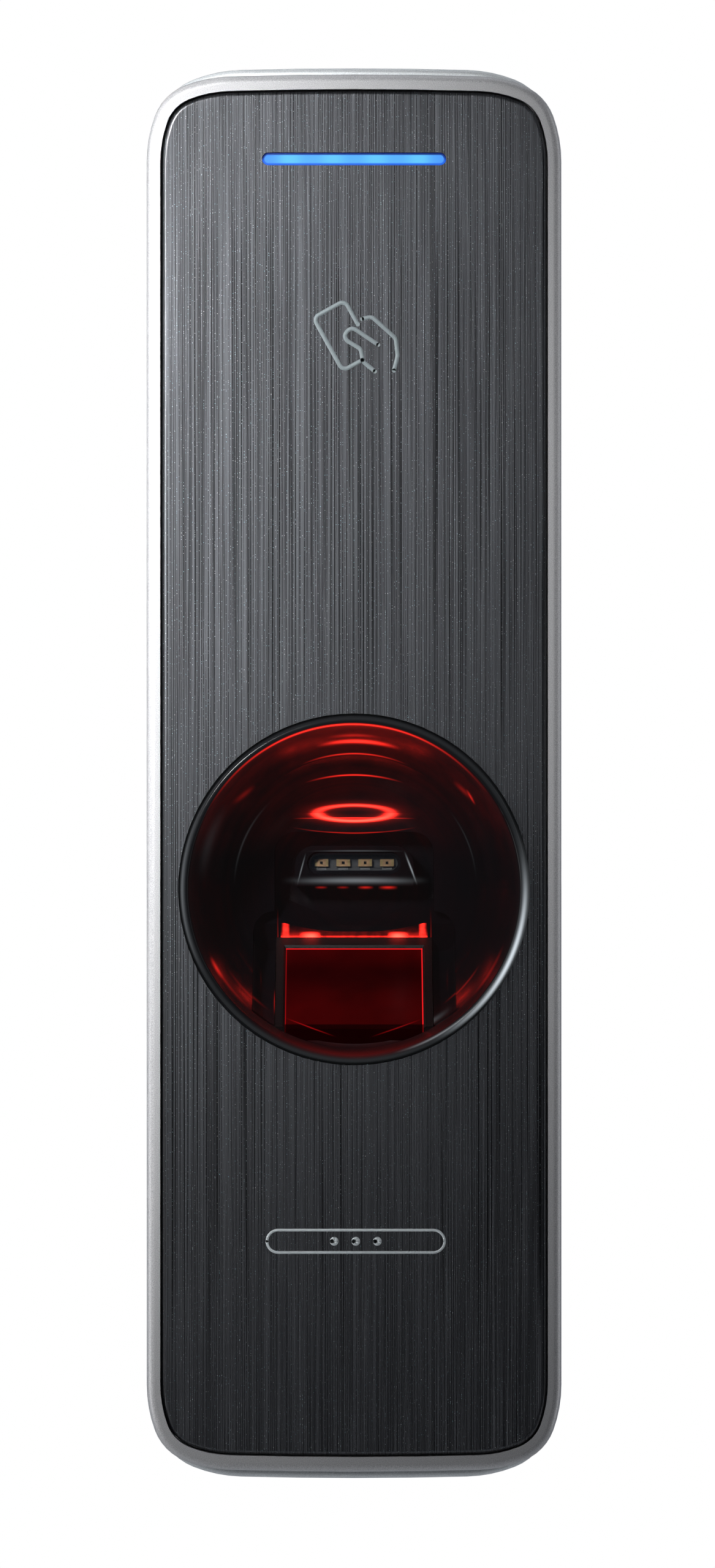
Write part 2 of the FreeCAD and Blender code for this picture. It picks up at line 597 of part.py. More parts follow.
# ---------------------------------------------------------------- main board
board_front = BOARD_REAR - BOARD_T
board = notched_board(20.0, -78.0, 78.0, board_front, BOARD_REAR, 4.1, SCREW_Z)
nodes["main_board"] = board.cut(fuse(*[rod(x, z, 1.3, -20, 0) for x, z in STANDOFFS]))
nodes["processor_shield"] = round_box(-9, 9, board_front - 2.4, board_front, 30, 52, 1.0, "y")
nodes["board_chips"] = Part.makeCompound(
    [
        box(-13.5, -10.5, board_front - 1.0, board_front, 30, 36),
        box(10.5, 13.5, board_front - 1.0, board_front, 30, 36),
        box(-13, -7, board_front - 1.2, board_front, -46, -40),
        box(7, 12, board_front - 1.0, board_front, -50, -43),
        box(-5, 2, board_front - 1.6, board_front, -72, -68),
    ]
)
nodes["relay"] = round_box(-7, 7, board_front - 9.5, board_front, -64, -52, 0.8, "y")
nodes["buzzer"] = rod(0, 60, 5.5, board_front - 4.6, board_front).cut(
    rod(0, 60, 1.0, board_front - 6, board_front - 3.6)
)
nodes["capacitors"] = Part.makeCompound(
    [rod(x, -58, 2.6, board_front - 7.0, board_front) for x in (-11.5, 11.5)]
)
nodes["board_sockets"] = Part.makeCompound(
    [
        box(-6, 6, board_front - 3.0, board_front, 22, 26),
        box(-5, 5, ANTENNA_FRONT + ANTENNA_T, ANTENNA_FRONT + ANTENNA_T + 2.0, 14.6, 18.6),
        box(-7, 7, BOARD_REAR, BOARD_REAR + 3.0, 0, 6),
    ]
)
nodes["ribbon_cable"] = fuse(
    box(-4.5, 4.5, board_front - 3.3, board_front - 3.0, 16.5, 25.5),
    box(-4.5, 4.5, ANTENNA_FRONT + ANTENNA_T + 2.0, board_front - 3.0, 16.5, 16.8),
)
nodes["board_screws"] = Part.makeCompound(
    [
        fuse(
            rod(x, z, 2.1, board_front - 1.5, board_front),
            rod(x, z, 0.95, board_front, BOARD_REAR + 3.6),
        ).cut(rod(x, z, 0.7, board_front - 2, board_front - 0.7))
        for x, z in STANDOFFS
    ]
)


# ---------------------------------------------------------------- rear fittings
def make_case_screw(x, z):
    """Screw that pulls the bezel onto the rear case, driven from behind."""
    head = rod(x, z, 2.4, -26.0, -24.2)
    shank = rod(x, z, 1.1, -38.5, -26.0)
    socket = rod(x, z, 1.0, -25.3, -24.0)
    return fuse(head, shank).cut(socket)


def make_gland():
    """Rubber grommet that the lead comes out through."""
    sleeve = fuse(
        rod(0, GLAND_Z, 7.0, REAR_WALL_OUT, -4.9),
        rod(0, GLAND_Z, GLAND_NECK_R, REAR_WALL_IN, REAR_WALL_OUT),
        rod(0, GLAND_Z, 6.2, -10.2, REAR_WALL_IN),
    )
    outer_edges = [e for e in sleeve.Edges if abs(e.BoundBox.YMin + 4.9) < 1e-4]
    sleeve = sleeve.makeFillet(0.6, outer_edges)
    return sleeve.cut(rod(0, GLAND_Z, GLAND_BORE_R, -12, 0))


nodes["case_screws"] = Part.makeCompound([make_case_screw(s * SCREW_X, z) for s in (-1, 1) for z in SCREW_Z])
nodes["cable_gland"] = make_gland()
nodes["rating_label"] = round_box(-14, 14, REAR_WALL_OUT, REAR_WALL_OUT + 0.1, -30, -6, 1.5, "y")
nodes["screw_insert"] = post(0, LOCK_Y, 2.2, -82.3, -79.0).cut(post(0, LOCK_Y, 1.55, -90, -70))
for name, x, y in (("tamper", PLUNGER_X, TAMPER_IN), ("reset", RESET_X, RESET_IN)):
    switch_top = y - DOME_H
    nodes[name + "_switch"] = box(x - 3, x + 3, BOARD_REAR, switch_top, BUTTON_Z - 3, BUTTON_Z + 3)
    dome = Part.makeCone(2.8, 1.8, DOME_H, V(x, switch_top, BUTTON_Z), V(0, 1, 0))
    hollow = Part.makeCone(2.3, 1.3, DOME_H, V(x, switch_top, BUTTON_Z), V(0, 1, 0))
    nodes[name + "_dome"] = dome.cut(hollow)


# ---------------------------------------------------------------- moving pieces
def make_plunger():
    """Tamper plunger: the bracket's plate holds it in, and its collar lets it out 1.5 mm without."""
    pin = fuse(
        rod(PLUNGER_X, BUTTON_Z, PLUNGER_R, TAMPER_IN, -1.6),
        rod(PLUNGER_X, BUTTON_Z, 2.9, TAMPER_IN, TAMPER_IN + 1.0),
    )
    return pin.makeFillet(0.6, [e for e in pin.Edges if abs(e.BoundBox.YMin + 1.6) < 1e-4])


def make_reset_button():
    """Small service button that is reached when the reader is off its bracket."""
    pin = fuse(
        rod(RESET_X, BUTTON_Z, RESET_R, RESET_IN, -5.6),
        rod(RESET_X, BUTTON_Z, 2.9, RESET_IN, RESET_IN + 1.0),
    )
    return pin.makeFillet(0.4, [e for e in pin.Edges if abs(e.BoundBox.YMin + 5.6) < 1e-4])


def make_lock_screw():
    """Security screw with a six-lobe socket and a centre pin; its tip stands under the flange."""
    body = fuse(
        post(0, LOCK_Y, 2.5, -84.3, -82.3),
        post(0, LOCK_Y, 1.5, -82.3, PLATE_BOTTOM - 0.05),
    )
    lobes = [
        post(0.85 * math.cos(k * math.pi / 3), LOCK_Y + 0.85 * math.sin(k * math.pi / 3), 0.42, -85, -83.0)
        for k in range(6)
    ]
    socket = fuse(post(0, LOCK_Y, 0.95, -85, -83.0), *lobes).cut(post(0, LOCK_Y, 0.35, -86, -82.5))
    tip = [e for e in body.Edges if abs(e.BoundBox.ZMin - (PLATE_BOTTOM - 0.05)) < 1e-4]
    return body.makeChamfer(0.4, tip).cut(socket)


nodes["tamper_plunger"] = make_plunger()
nodes["reset_button"] = make_reset_button()
nodes["lock_screw"] = make_lock_screw()


# ---------------------------------------------------------------- write
for name, shape in nodes.items():
    solids = shape.Solids
    valid = all(solid.isValid() and solid.Volume > 0 for solid in solids)
    print(f"{name:18s} solids {len(solids)} volume {shape.Volume:10.2f} valid {valid}")
    out = solids[0] if len(solids) == 1 else Part.makeCompound(solids)
    out.exportStep(f"parts/{name}.step")
print(len(nodes), "nodes")
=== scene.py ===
# %% [markdown]
# # A wall-mounted card and fingerprint reader
#
# The reader is a slim upright body with a black hairline front, a blue light bar, a card symbol and a
# round, glossy finger scoop that glows red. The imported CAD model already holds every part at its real
# size, so this lesson loads it as a fixed frame and gives each part its finish. Blender then adds what
# a CAD part cannot show: prints, glows, lamp chips and small electronics.

# %% Load the frame
import math
import random

import bpy
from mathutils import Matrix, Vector


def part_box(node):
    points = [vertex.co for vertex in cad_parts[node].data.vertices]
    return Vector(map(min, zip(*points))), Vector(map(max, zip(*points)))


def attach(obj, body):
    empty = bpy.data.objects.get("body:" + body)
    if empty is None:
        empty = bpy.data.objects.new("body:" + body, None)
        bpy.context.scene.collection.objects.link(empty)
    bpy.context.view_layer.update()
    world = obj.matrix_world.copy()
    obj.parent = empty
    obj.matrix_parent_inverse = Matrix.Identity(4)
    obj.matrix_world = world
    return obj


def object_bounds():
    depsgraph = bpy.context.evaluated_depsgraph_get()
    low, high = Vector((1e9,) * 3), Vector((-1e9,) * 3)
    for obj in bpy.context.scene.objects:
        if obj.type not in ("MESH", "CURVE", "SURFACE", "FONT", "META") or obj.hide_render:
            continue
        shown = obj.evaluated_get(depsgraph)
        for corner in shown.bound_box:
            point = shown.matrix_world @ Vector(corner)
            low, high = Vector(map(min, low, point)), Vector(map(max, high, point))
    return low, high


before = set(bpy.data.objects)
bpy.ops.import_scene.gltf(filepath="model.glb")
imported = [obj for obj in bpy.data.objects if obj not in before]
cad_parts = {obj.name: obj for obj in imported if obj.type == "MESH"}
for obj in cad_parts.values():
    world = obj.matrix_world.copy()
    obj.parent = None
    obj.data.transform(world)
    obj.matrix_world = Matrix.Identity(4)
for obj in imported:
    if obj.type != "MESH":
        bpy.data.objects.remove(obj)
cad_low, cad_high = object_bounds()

MM = 0.001
scene = bpy.context.scene
centre = (cad_low + cad_high) / 2
print("reader measures", [round((b - a) / MM, 1) for a, b in zip(cad_low, cad_high)], "mm")


# %% [markdown]
# Colours are written as the hex values that a colour picker shows. Shaders work in linear light, so
# one function turns every hex value to linear.

# %% Colour tool
def linear(hex_colour, alpha=1.0):
    """An sRGB hex colour as a linear RGBA tuple."""
    values = [int(hex_colour[i : i + 2], 16) / 255 for i in (1, 3, 5)]
    return (*[v / 12.92 if v <= 0.04045 else ((v + 0.055) / 1.055) ** 2.4 for v in values], alpha)


# %% [markdown]
# Every material is a small tree of nodes. `add` makes one node, sets its options, and fills each
# input with either a plain value or a link from another node's output.

# %% Node tool
def add(tree, kind, inputs=None, **options):
    prefix = {"ShaderNodeTree": "ShaderNode", "GeometryNodeTree": "GeometryNode"}[tree.bl_idname]
    full_name = kind if kind.startswith(("Node", "ShaderNode", "FunctionNode")) else prefix + kind
    node = tree.nodes.new(full_name)
    for name, value in options.items():
        setattr(node, name, value)
    for name, value in (inputs or {}).items():
        socket = node.inputs[name]
        if isinstance(value, bpy.types.NodeSocket):
            tree.links.new(value, socket)
        else:
            socket.default_value = value
    return node


# %% Material starter
def start_material(name, **settings):
    """A new material with a Principled shader. Gives back the material, its tree, the shader, and
    the Object coordinates, which are metres in the reader's own frame."""
    material = bpy.data.materials.new(name)
    material.use_nodes = True
    tree = material.node_tree
    shader = tree.nodes["Principled BSDF"]
    for socket, value in settings.items():
        shader.inputs[socket.replace("_", " ")].default_value = value
    where = add(tree, "TexCoord").outputs["Object"]
    return material, tree, shader, where


def dress(material, *node_names):
    """Gives CAD nodes their finish."""
    for name in node_names:
        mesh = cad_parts[name].data
        mesh.materials.clear()
        mesh.materials.append(material)
    print(material.name, "on", ", ".join(node_names))


# %% [markdown]
# ## Camera
#
# The camera looks straight at the front from 0.8 m with a long lens, so the front is nearly free of
# perspective and only a thin band of the rear case shows above and below the bezel. It comes first,
# because every finish is judged through it.

# %% Camera
CAMERA_DISTANCE = 0.8
FIELD_HEIGHT = 188.8 * MM
AIM_RIGHT, AIM_UP = 0.41 * MM, -1.31 * MM

camera_data = bpy.data.cameras.new("camera")
camera_data.sensor_width = 36.0
camera_data.lens = camera_data.sensor_width * CAMERA_DISTANCE / FIELD_HEIGHT
camera_data.clip_start, camera_data.clip_end = 0.01, 100.0
camera = bpy.data.objects.new("camera", camera_data)
camera.location = (centre.x + AIM_RIGHT, cad_low.y - CAMERA_DISTANCE, centre.z + AIM_UP)
camera.rotation_euler = (math.radians(90), 0, 0)
scene.collection.objects.link(camera)
scene.camera = camera
scene.view_settings.view_transform = "Standard"
print("lens", round(camera_data.lens, 1), "mm")


# %% [markdown]
# ## Studio
#
# A product like this is shown in white surroundings, but a glossy black front only looks black if what
# it mirrors is dark. So the backdrop is white to the eye and dim as a light, and dimmest in front, and
# the form is drawn by soft boxes. The key stands high on the left with a narrow spread, so that it
# fades down and across the front. One box at each side draws the bezel's edges, and one above lights
# the case's top. A faint one below and one behind keep the underside and the back readable.

# %% Backdrop
world = bpy.data.worlds.new("white_studio")
scene.world = world
world.use_nodes = True
sky = world.node_tree
sky.nodes.clear()
FRONT_DIM, BACK_DIM = 0.007, 0.19
seen = add(sky, "Background", {"Color": linear("#ffffff"), "Strength": 1.0})
towards = add(sky, "SeparateXYZ", {"Vector": add(sky, "TexCoord").outputs["Generated"]}).outputs["Y"]
dim_front = add(
    sky, "MapRange",
    {"Value": towards, "From Min": -0.60, "From Max": 0.15, "To Min": FRONT_DIM, "To Max": BACK_DIM},
).outputs[0]
lighting = add(sky, "Background", {"Color": linear("#c8d6f2"), "Strength": dim_front})
ray = add(sky, "LightPath")
mix = add(sky, "MixShader", {"Fac": ray.outputs["Is Camera Ray"]})
sky.links.new(lighting.outputs[0], mix.inputs[1])
sky.links.new(seen.outputs[0], mix.inputs[2])
add(sky, "OutputWorld", {"Surface": mix.outputs[0]})
print("backdrop lights the front with", FRONT_DIM, "and the back with", BACK_DIM)

# %% Floor
FLOOR_Z, FLOOR_SIZE = -0.62, 1.1
bpy.ops.mesh.primitive_circle_add(vertices=96, radius=FLOOR_SIZE, fill_type="NGON", location=(0, 0, FLOOR_Z))
floor = bpy.context.object
floor.name = "floor"
paint, tree, shader, where = start_material("matt_white_floor", Base_Color=linear("#f4f4f2"), Roughness=0.9)
floor.data.materials.append(paint)
print("floor at", FLOOR_Z, "m")


# %% Soft boxes
def soft_box(name, place, aim, width, height, radiance, colour="#ffffff", spread=180):
    """An area light of a given size and radiance. Its spread is in degrees."""
    data = bpy.data.lights.new(name, "AREA")
    data.shape = "RECTANGLE"
    data.size, data.size_y = width, height
    data.energy = radiance * math.pi * width * height
    data.color = linear(colour)[:3]
    data.spread = math.radians(spread)
    light = bpy.data.objects.new(name, data)
    light.location = place
    light.rotation_euler = (Vector(aim) - Vector(place)).to_track_quat("-Z", "Y").to_euler()
    light.visible_camera = False
    scene.collection.objects.link(light)
    print(name, width, "by", height, "m")


soft_box("key_box", (-0.21, -0.50, 0.20), (-0.088, -0.043, 0.045), 0.08, 0.10, 9.8, spread=25)
soft_box("left_box", (-0.75, -0.25, 0.12), (0, 0, 0), 0.35, 1.0, 3.8)
soft_box("right_box", (0.75, -0.05, 0.05), (0, 0, 0), 0.35, 1.0, 1.6)
soft_box("top_box", (0.0, 0.15, 0.8), (0, 0, 0), 0.9, 0.6, 0.7)
soft_box("low_box", (0.0, 0.10, -0.55), (0, 0, 0), 0.5, 0.3, 0.15, "#dfe9ff")
soft_box("back_box", (0.5, 1.1, 0.35), (0, 0, 0), 0.8, 0.8, 1.2)


# %% [markdown]
# ## Front cover
#
# The cover is clear polycarbonate moulded over a printed film. The film is brushed with fine vertical
# hairlines and holds a scatter of pearl flakes. The lines could be cut as geometry, but at a tenth of a
# millimetre they are finer than a facet. Noise that is squeezed across and stretched along draws them
# instead, in colour and in bump. Voronoi cells place the flakes, at most one to a cell, and the largest
# are drawn six hundredths of a millimetre across, which is about their real size. The film gives the
# eye a grey sheen that is broken by dark lines, and the clear cover over it a soft second highlight.

# %% Cover film
HAIRLINE, SHADE_BAND, FLAKE_CELL = 0.11 * MM, 0.9 * MM, 0.27 * MM
LARGEST_FLAKE = 0.11  # its radius as a share of a cell
LINE_SQUEEZE = (1.0, 0.0, 0.0015)
GROOVE_DEPTH = 0.03 * MM
COVER_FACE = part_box("front_cover")[0].y


def film_finish():
    """Hairline film: each line is a dark groove or a bright crest, and flakes catch the light."""
    material, tree, shader, where = start_material(
        "hairline_film_under_polycarbonate", Coat_Weight=0.6, Coat_Roughness=0.25, Coat_IOR=1.58
    )
    across = add(tree, "Mapping", {"Vector": where, "Scale": LINE_SQUEEZE}).outputs[0]
    fine = add(
        tree, "TexNoise",
        {"Vector": across, "Scale": 1 / HAIRLINE, "Detail": 1.0, "Roughness": 0.6},
    ).outputs["Fac"]
    broad = add(
        tree, "TexNoise",
        {"Vector": across, "Scale": 1 / SHADE_BAND, "Detail": 2.0, "Roughness": 0.7},
    ).outputs["Fac"]
    groove = add(
        tree, "MapRange",
        {"Value": fine, "From Min": 0.34, "From Max": 0.56, "To Min": 0.0, "To Max": 1.0},
        interpolation_type="SMOOTHSTEP",
    ).outputs[0]
    band = add(
        tree, "MapRange", {"Value": broad, "From Min": 0.3, "From Max": 0.65, "To Min": 0.72, "To Max": 1.0}
    ).outputs[0]
    lines = add(tree, "Math", {0: groove, 1: band}, operation="MULTIPLY").outputs[0]
    tone = add(
        tree, "Mix", {"Factor": lines, "A": linear("#17181b"), "B": linear("#54565a")}, data_type="RGBA"
    ).outputs["Result"]
    axes = add(tree, "SeparateXYZ", {"Vector": where}).outputs
    face = add(tree, "CombineXYZ", {"X": axes["X"], "Y": axes["Z"]}).outputs[0]
    cells = add(tree, "TexVoronoi", {"Vector": face, "Scale": 1 / FLAKE_CELL}, voronoi_dimensions="2D")
    draw = add(tree, "SeparateColor", {"Color": cells.outputs["Color"]})
    size = add(
        tree, "MapRange",
        {"Value": draw.outputs[0], "From Min": 0.6, "From Max": 1.0, "To Min": 0.0, "To Max": LARGEST_FLAKE},
    ).outputs[0]
    inside = add(tree, "Math", {0: size, 1: cells.outputs["Distance"]}, operation="SUBTRACT").outputs[0]
    flake = add(
        tree, "MapRange", {"Value": inside, "From Min": 0.0, "From Max": 0.03, "To Min": 0.0, "To Max": 1.0}
    ).outputs[0]
    tint = add(
        tree, "Mix",
        {"Factor": draw.outputs[1], "A": linear("#ffffff"), "B": linear("#a8e4ee")}, data_type="RGBA",
    ).outputs["Result"]
    colour = add(tree, "Mix", {"Factor": flake, "A": tone, "B": tint}, data_type="RGBA").outputs["Result"]
    metallic = add(
        tree, "MapRange", {"Value": flake, "From Min": 0.0, "From Max": 1.0, "To Min": 0.95, "To Max": 0.7}
    ).outputs[0]
    rough = add(
        tree, "MapRange", {"Value": flake, "From Min": 0.0, "From Max": 1.0, "To Min": 0.40, "To Max": 0.55}
    ).outputs[0]
    bump = add(tree, "Bump", {"Height": lines, "Strength": 1.0, "Distance": GROOVE_DEPTH}).outputs[0]
    driven = {"Base Color": colour, "Metallic": metallic, "Roughness": rough, "Normal": bump}
    for socket, source in driven.items():
        tree.links.new(source, shader.inputs[socket])
    return material


dress(film_finish(), "front_cover")
print("hairlines", round(HAIRLINE / MM, 2), "mm, flake cells", round(FLAKE_CELL / MM, 2), "mm")


# %% [markdown]
# ## Cast and sprayed metal
#
# The bezel is die-cast zinc and the rear case die-cast aluminium, both under a silver metallic lacquer.
# Lacquer flakes are a few hundredths of a millimetre across and show as a fine sparkle. They are drawn
# a little coarser here, so that they show at all, and a thin clear coat gives the soft highlight. The
# case's lacquer holds more metal than the bezel's, and its grey is paler.

# %% Silver lacquer
LACQUER_FLAKE = 0.09 * MM


def lacquer_finish(name, light, dark, **settings):
    material, tree, shader, where = start_material(name, **settings)
    sparkle = add(
        tree, "TexNoise", {"Vector": where, "Scale": 1 / LACQUER_FLAKE, "Detail": 2.0, "Roughness": 0.75}
    ).outputs["Fac"]
    grade = add(tree, "MapRange", {"Value": sparkle, "From Min": 0.30, "From Max": 0.68}).outputs[0]
    tone = add(
        tree, "Mix", {"Factor": grade, "A": linear(dark), "B": linear(light)}, data_type="RGBA"
    ).outputs["Result"]
    tree.links.new(tone, shader.inputs["Base Color"])
    bump = add(tree, "Bump", {"Height": sparkle, "Strength": 0.2, "Distance": 0.008 * MM}).outputs[0]
    tree.links.new(bump, shader.inputs["Normal"])
    return material


bezel_lacquer = lacquer_finish(
    "silver_lacquer_on_zinc", "#c9c9ca", "#8c8c8f", Roughness=0.5, Metallic=0.3, Coat_Weight=0.3
)
case_lacquer = lacquer_finish(
    "silver_lacquer_on_aluminium", "#dfe2e3", "#b1b6b9", Roughness=0.5, Metallic=0.5, Coat_Weight=0.2
)
dress(bezel_lacquer, "front_bezel")
dress(case_lacquer, "rear_case")


# %% [markdown]
# ## Light in the scoop
#
# The scoop is one polished black moulding. Red lamps under its glass throw a step of light at the
# fingertip and a set of bright curves, called caustics, on the bowl. A renderer could trace them from
# small lamps, but only with far more samples than a still needs. So each curve is a stroke of light in
# the material: a piece of a ring with its own centre, radius, length and width. One node group draws a
# stroke from Object coordinates, and a Mapping node puts it in place, so the strokes stay on the bowl
# from every side.

# %% Stroke of light
SCOOP_LOW, SCOOP_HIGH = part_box("finger_scoop")
SCOOP_AXIS = Vector((0, 0, (SCOOP_LOW.z + SCOOP_HIGH.z) / 2))
FLAT = 1e6  # a scale this large takes depth out of the coordinates


def stroke_group():
    """Shader group: brightness of a ring piece, from coordinates that start at the ring's centre."""
    tree = bpy.data.node_groups.new("stroke_of_light", "ShaderNodeTree")
    tree.interface.new_socket("Place", in_out="INPUT", socket_type="NodeSocketVector")
    for label in ("Radius", "Half Length", "Width", "Strength"):
        tree.interface.new_socket(label, in_out="INPUT", socket_type="NodeSocketFloat")
    tree.interface.new_socket("Light", in_out="OUTPUT", socket_type="NodeSocketFloat")
    given = add(tree, "NodeGroupInput").outputs
    out = add(tree, "NodeGroupOutput")
    reach = add(tree, "VectorMath", {0: given["Place"]}, operation="LENGTH").outputs["Value"]
    off = add(tree, "Math", {0: reach, 1: given["Radius"]}, operation="SUBTRACT").outputs[0]
    share = add(tree, "Math", {0: off, 1: given["Width"]}, operation="DIVIDE").outputs[0]
    square = add(tree, "Math", {0: share, 1: share}, operation="MULTIPLY").outputs[0]
    less = add(tree, "Math", {0: square, 1: -1.0}, operation="MULTIPLY").outputs[0]
    across = add(tree, "Math", {0: less}, operation="EXPONENT").outputs[0]
    axes = add(tree, "SeparateXYZ", {"Vector": given["Place"]}).outputs
    side = add(tree, "Math", {0: axes["X"]}, operation="ABSOLUTE").outputs[0]
    along = add(
        tree, "MapRange",
        {"Value": side, "From Min": given["Half Length"], "From Max": 0.0, "To Min": 0.0, "To Max": 1.0},
        interpolation_type="SMOOTHSTEP",
    ).outputs[0]
    upper = add(tree, "Math", {0: axes["Z"], 1: 0.0}, operation="GREATER_THAN").outputs[0]
    half = add(tree, "Math", {0: along, 1: upper}, operation="MULTIPLY").outputs[0]
    both = add(tree, "Math", {0: across, 1: half}, operation="MULTIPLY").outputs[0]
    light = add(tree, "Math", {0: both, 1: given["Strength"]}, operation="MULTIPLY").outputs[0]
    tree.links.new(light, out.inputs["Light"])
    return tree


STROKE = stroke_group()


def stroke(tree, where, centre, radius, turn, half_length, width, strength, squash=1.0):
    """One stroke. Sizes are millimetres, centre is (right, up) from the scoop's axis, and turn is the
    direction of the stroke's middle in degrees, clockwise from straight up."""
    place = SCOOP_AXIS + Vector((centre[0] * MM, 0, centre[1] * MM))
    local = add(
        tree, "Mapping",
        {
            "Vector": where, "Location": place, "Rotation": (0, math.radians(turn), 0),
            "Scale": (1.0, FLAT, squash),
        },
        vector_type="TEXTURE",
    ).outputs[0]
    node = add(tree, "Group", node_tree=STROKE)
    tree.links.new(local, node.inputs["Place"])
    sizes = {"Radius": radius * MM, "Half Length": half_length * MM, "Width": width * MM}
    for label, value in (*sizes.items(), ("Strength", strength)):
        node.inputs[label].default_value = value
    return node.outputs["Light"]


def total(tree, lights):
    """The sum of several brightnesses."""
    result = lights[0]
    for light in lights[1:]:
        result = add(tree, "Math", {0: result, 1: light}, operation="ADD").outputs[0]
    return result


# %% [markdown]
# The strokes of the bowl follow its rings, so most share the scoop's axis. The oval one is a circle
# that is squashed upright. Straight ones are rings with a very large radius. Red strokes are light from
# the lamps, two of them run on over the glass, and the pale ones are the studio's light along the hood
# and the lip.

# %% The bowl's strokes
STRAIGHT = 400.0


def straight(middle, turn, half_length, width, strength):
    """A stroke with no bend, given by its middle."""
    angle = math.radians(turn)
    centre = (middle[0] - STRAIGHT * math.sin(angle), middle[1] - STRAIGHT * math.cos(angle))
    return (centre, STRAIGHT, turn, half_length, width, strength)


BOWL_STROKES = (
    # centre, radius, turn, half length, width, strength, squash
    ((-0.15, 0.05), 19.85, -5, 17.5, 0.09, 2.0),  # thin line under the lip
    ((0, 0), 17.9, 2, 5.4, 0.18, 2.4),  # ring pieces below it
    ((0, 0), 18.6, 0, 3.6, 0.16, 0.35),
    ((0, 0), 16.4, 0, 6.8, 0.08, 1.0),
    ((0, -6), 19.8, 0, 6.2, 0.08, 1.3),
    ((0, 9.1), 4.6, 0, 9.0, 0.60, 5.0, 0.21),  # the oval, as two half rings with a halo
    ((0, 9.1), 4.6, 180, 9.0, 0.65, 10.0, 0.21),
    ((0, 9.1), 4.6, 0, 12.0, 2.2, 0.12, 0.21),
    ((0, 9.1), 4.6, 180, 12.0, 2.2, 0.16, 0.21),
    straight((0, 8.5), 0, 7.8, 0.06, 2.4),
    ((0, 46.6), 40.0, 180, 8.0, 0.06, 0.6),  # faint line over the hood
    straight((-4.1, -0.15), 0, 0.9, 0.12, 0.25),  # lamps mirrored under the hood
    straight((-1.4, -0.15), 0, 0.9, 0.12, 0.2),
    straight((1.4, -0.15), 0, 1.1, 0.14, 0.5),
    straight((4.2, -0.15), 0, 1.3, 0.16, 0.6),
    ((0, 0), 19.2, 233, 5.0, 0.12, 0.10),  # streaks low in the bowl
    ((0, 0), 19.25, 240, 1.7, 0.16, 0.5),
    ((0, 0), 18.2, 226, 4.0, 0.12, 0.08),
    ((0, 0), 19.3, 122, 4.2, 0.12, 0.12),
    ((0, 0), 17.9, 132, 3.6, 0.08, 0.16),
    straight((-13.4, 11.4), -40, 2.0, 0.25, 0.10),  # streaks high in the bowl
    straight((13.3, 11.9), 44, 1.9, 0.22, 0.14),
    straight((14.2, 11.1), 60, 1.2, 0.10, 0.5),
    straight((-9.4, -9.5), 90, 7.0, 0.06, 0.35),  # edges of the frame's seat
    straight((9.5, -9.5), 90, 7.0, 0.06, 0.30),
    straight((-9.6, -14.0), 90, 1.6, 0.14, 0.7),
    ((0, 0), 20.0, 180, 15.0, 0.30, 0.05),  # foot of the bowl
)

GLASS_STROKES = (
    straight((-5.4, -16.8), 20, 3.6, 0.06, 0.30),  # the glass's lower corners
    straight((5.2, -16.9), -19, 3.6, 0.06, 0.22),
)

PALE_STROKES = (
    straight((0.2, 0.8), 0, 9.5, 0.32, 0.16),  # hood: lower lip, top and sides
    straight((0.2, 4.45), 0, 6.5, 0.08, 0.07),
    straight((7.0, 2.3), 69, 2.4, 0.09, 0.30),
    straight((-6.5, 2.2), -75, 2.2, 0.07, 0.16),
    ((0, 0), 20.58, 115, 13.0, 0.25, 0.75),  # lip: studio light on its inner slope
    ((0, 0), 20.80, 100, 12.0, 0.45, 0.10),
    ((0, 0), 20.25, 150, 6.0, 0.12, 0.16),
    ((0, 0), 20.70, 270, 12.0, 0.22, 0.08),
    ((0, 0), 20.60, 0, 80.0, 0.30, 0.018),
    ((0, 0), 20.60, 180, 80.0, 0.30, 0.018),
    ((0, 0), 14.7, -66, 6.0, 0.10, 0.020),  # faint studio lines in the bowl
    ((0, 0), 15.0, 68, 5.0, 0.08, 0.015),
    ((0, 0), 18.5, -72, 5.5, 0.50, 0.010),
    ((0, 0), 18.4, 180, 9.0, 0.40, 0.030),  # foot of the bowl
    ((0, 0), 18.8, 155, 5.0, 0.25, 0.08),
)
print(len(BOWL_STROKES) + len(GLASS_STROKES) + len(PALE_STROKES), "strokes of light in the bowl")


# %% [markdown]
# Black ABS polished to a mirror has almost no colour of its own, so the eye reads it by what it mirrors.
# Its material paints that as light: the pale strokes and a faint grey sheen, which are painted reflections
# of the studio, and three kinds of red. These are the red strokes, a dim glow that fills the upper bowl
# in faint rings, and the lit step behind the glass, which is found by turning the coordinates to the
# slope of the glass. The surface itself mirrors less than real ABS, so that nothing is seen twice.

# %% Places in the scoop
SLOPE = math.radians(33)
GLASS_FOOT = Vector((0, SCOOP_LOW.y + 6.0 * MM, SCOOP_AXIS.z - 16.15 * MM))
STEP_ALONG, STEP_HALF, STEP_HIGH = 18.2, 9.1, 2.1  # millimetres, in the glass's slope
HOT_SPOT, END_POST = 5.3, 8.4  # how far the step's bright places are from its middle
LIP_START = 19.8
RING_GAP, CLOUD_SIZE, FLICKER_SIZE, HAZE_SIZE = 0.9 * MM, 4.0 * MM, 0.8 * MM, 1.2 * MM
print("glass slopes", round(math.degrees(SLOPE)), "degrees, from", [round(v / MM, 2) for v in GLASS_FOOT])


# %% Soft edges and products

def mask(tree, value, start, stop, low=0.0, high=1.0):
    """A soft edge: low before start and high after stop, in millimetres."""
    return add(
        tree, "MapRange",
        {"Value": value, "From Min": start * MM, "From Max": stop * MM, "To Min": low, "To Max": high},
        interpolation_type="SMOOTHSTEP",
    ).outputs[0]


def product(tree, factors):
    """The product of several brightnesses."""
    result = factors[0]
    for factor in factors[1:]:
        result = add(tree, "Math", {0: result, 1: factor}, operation="MULTIPLY").outputs[0]
    return result


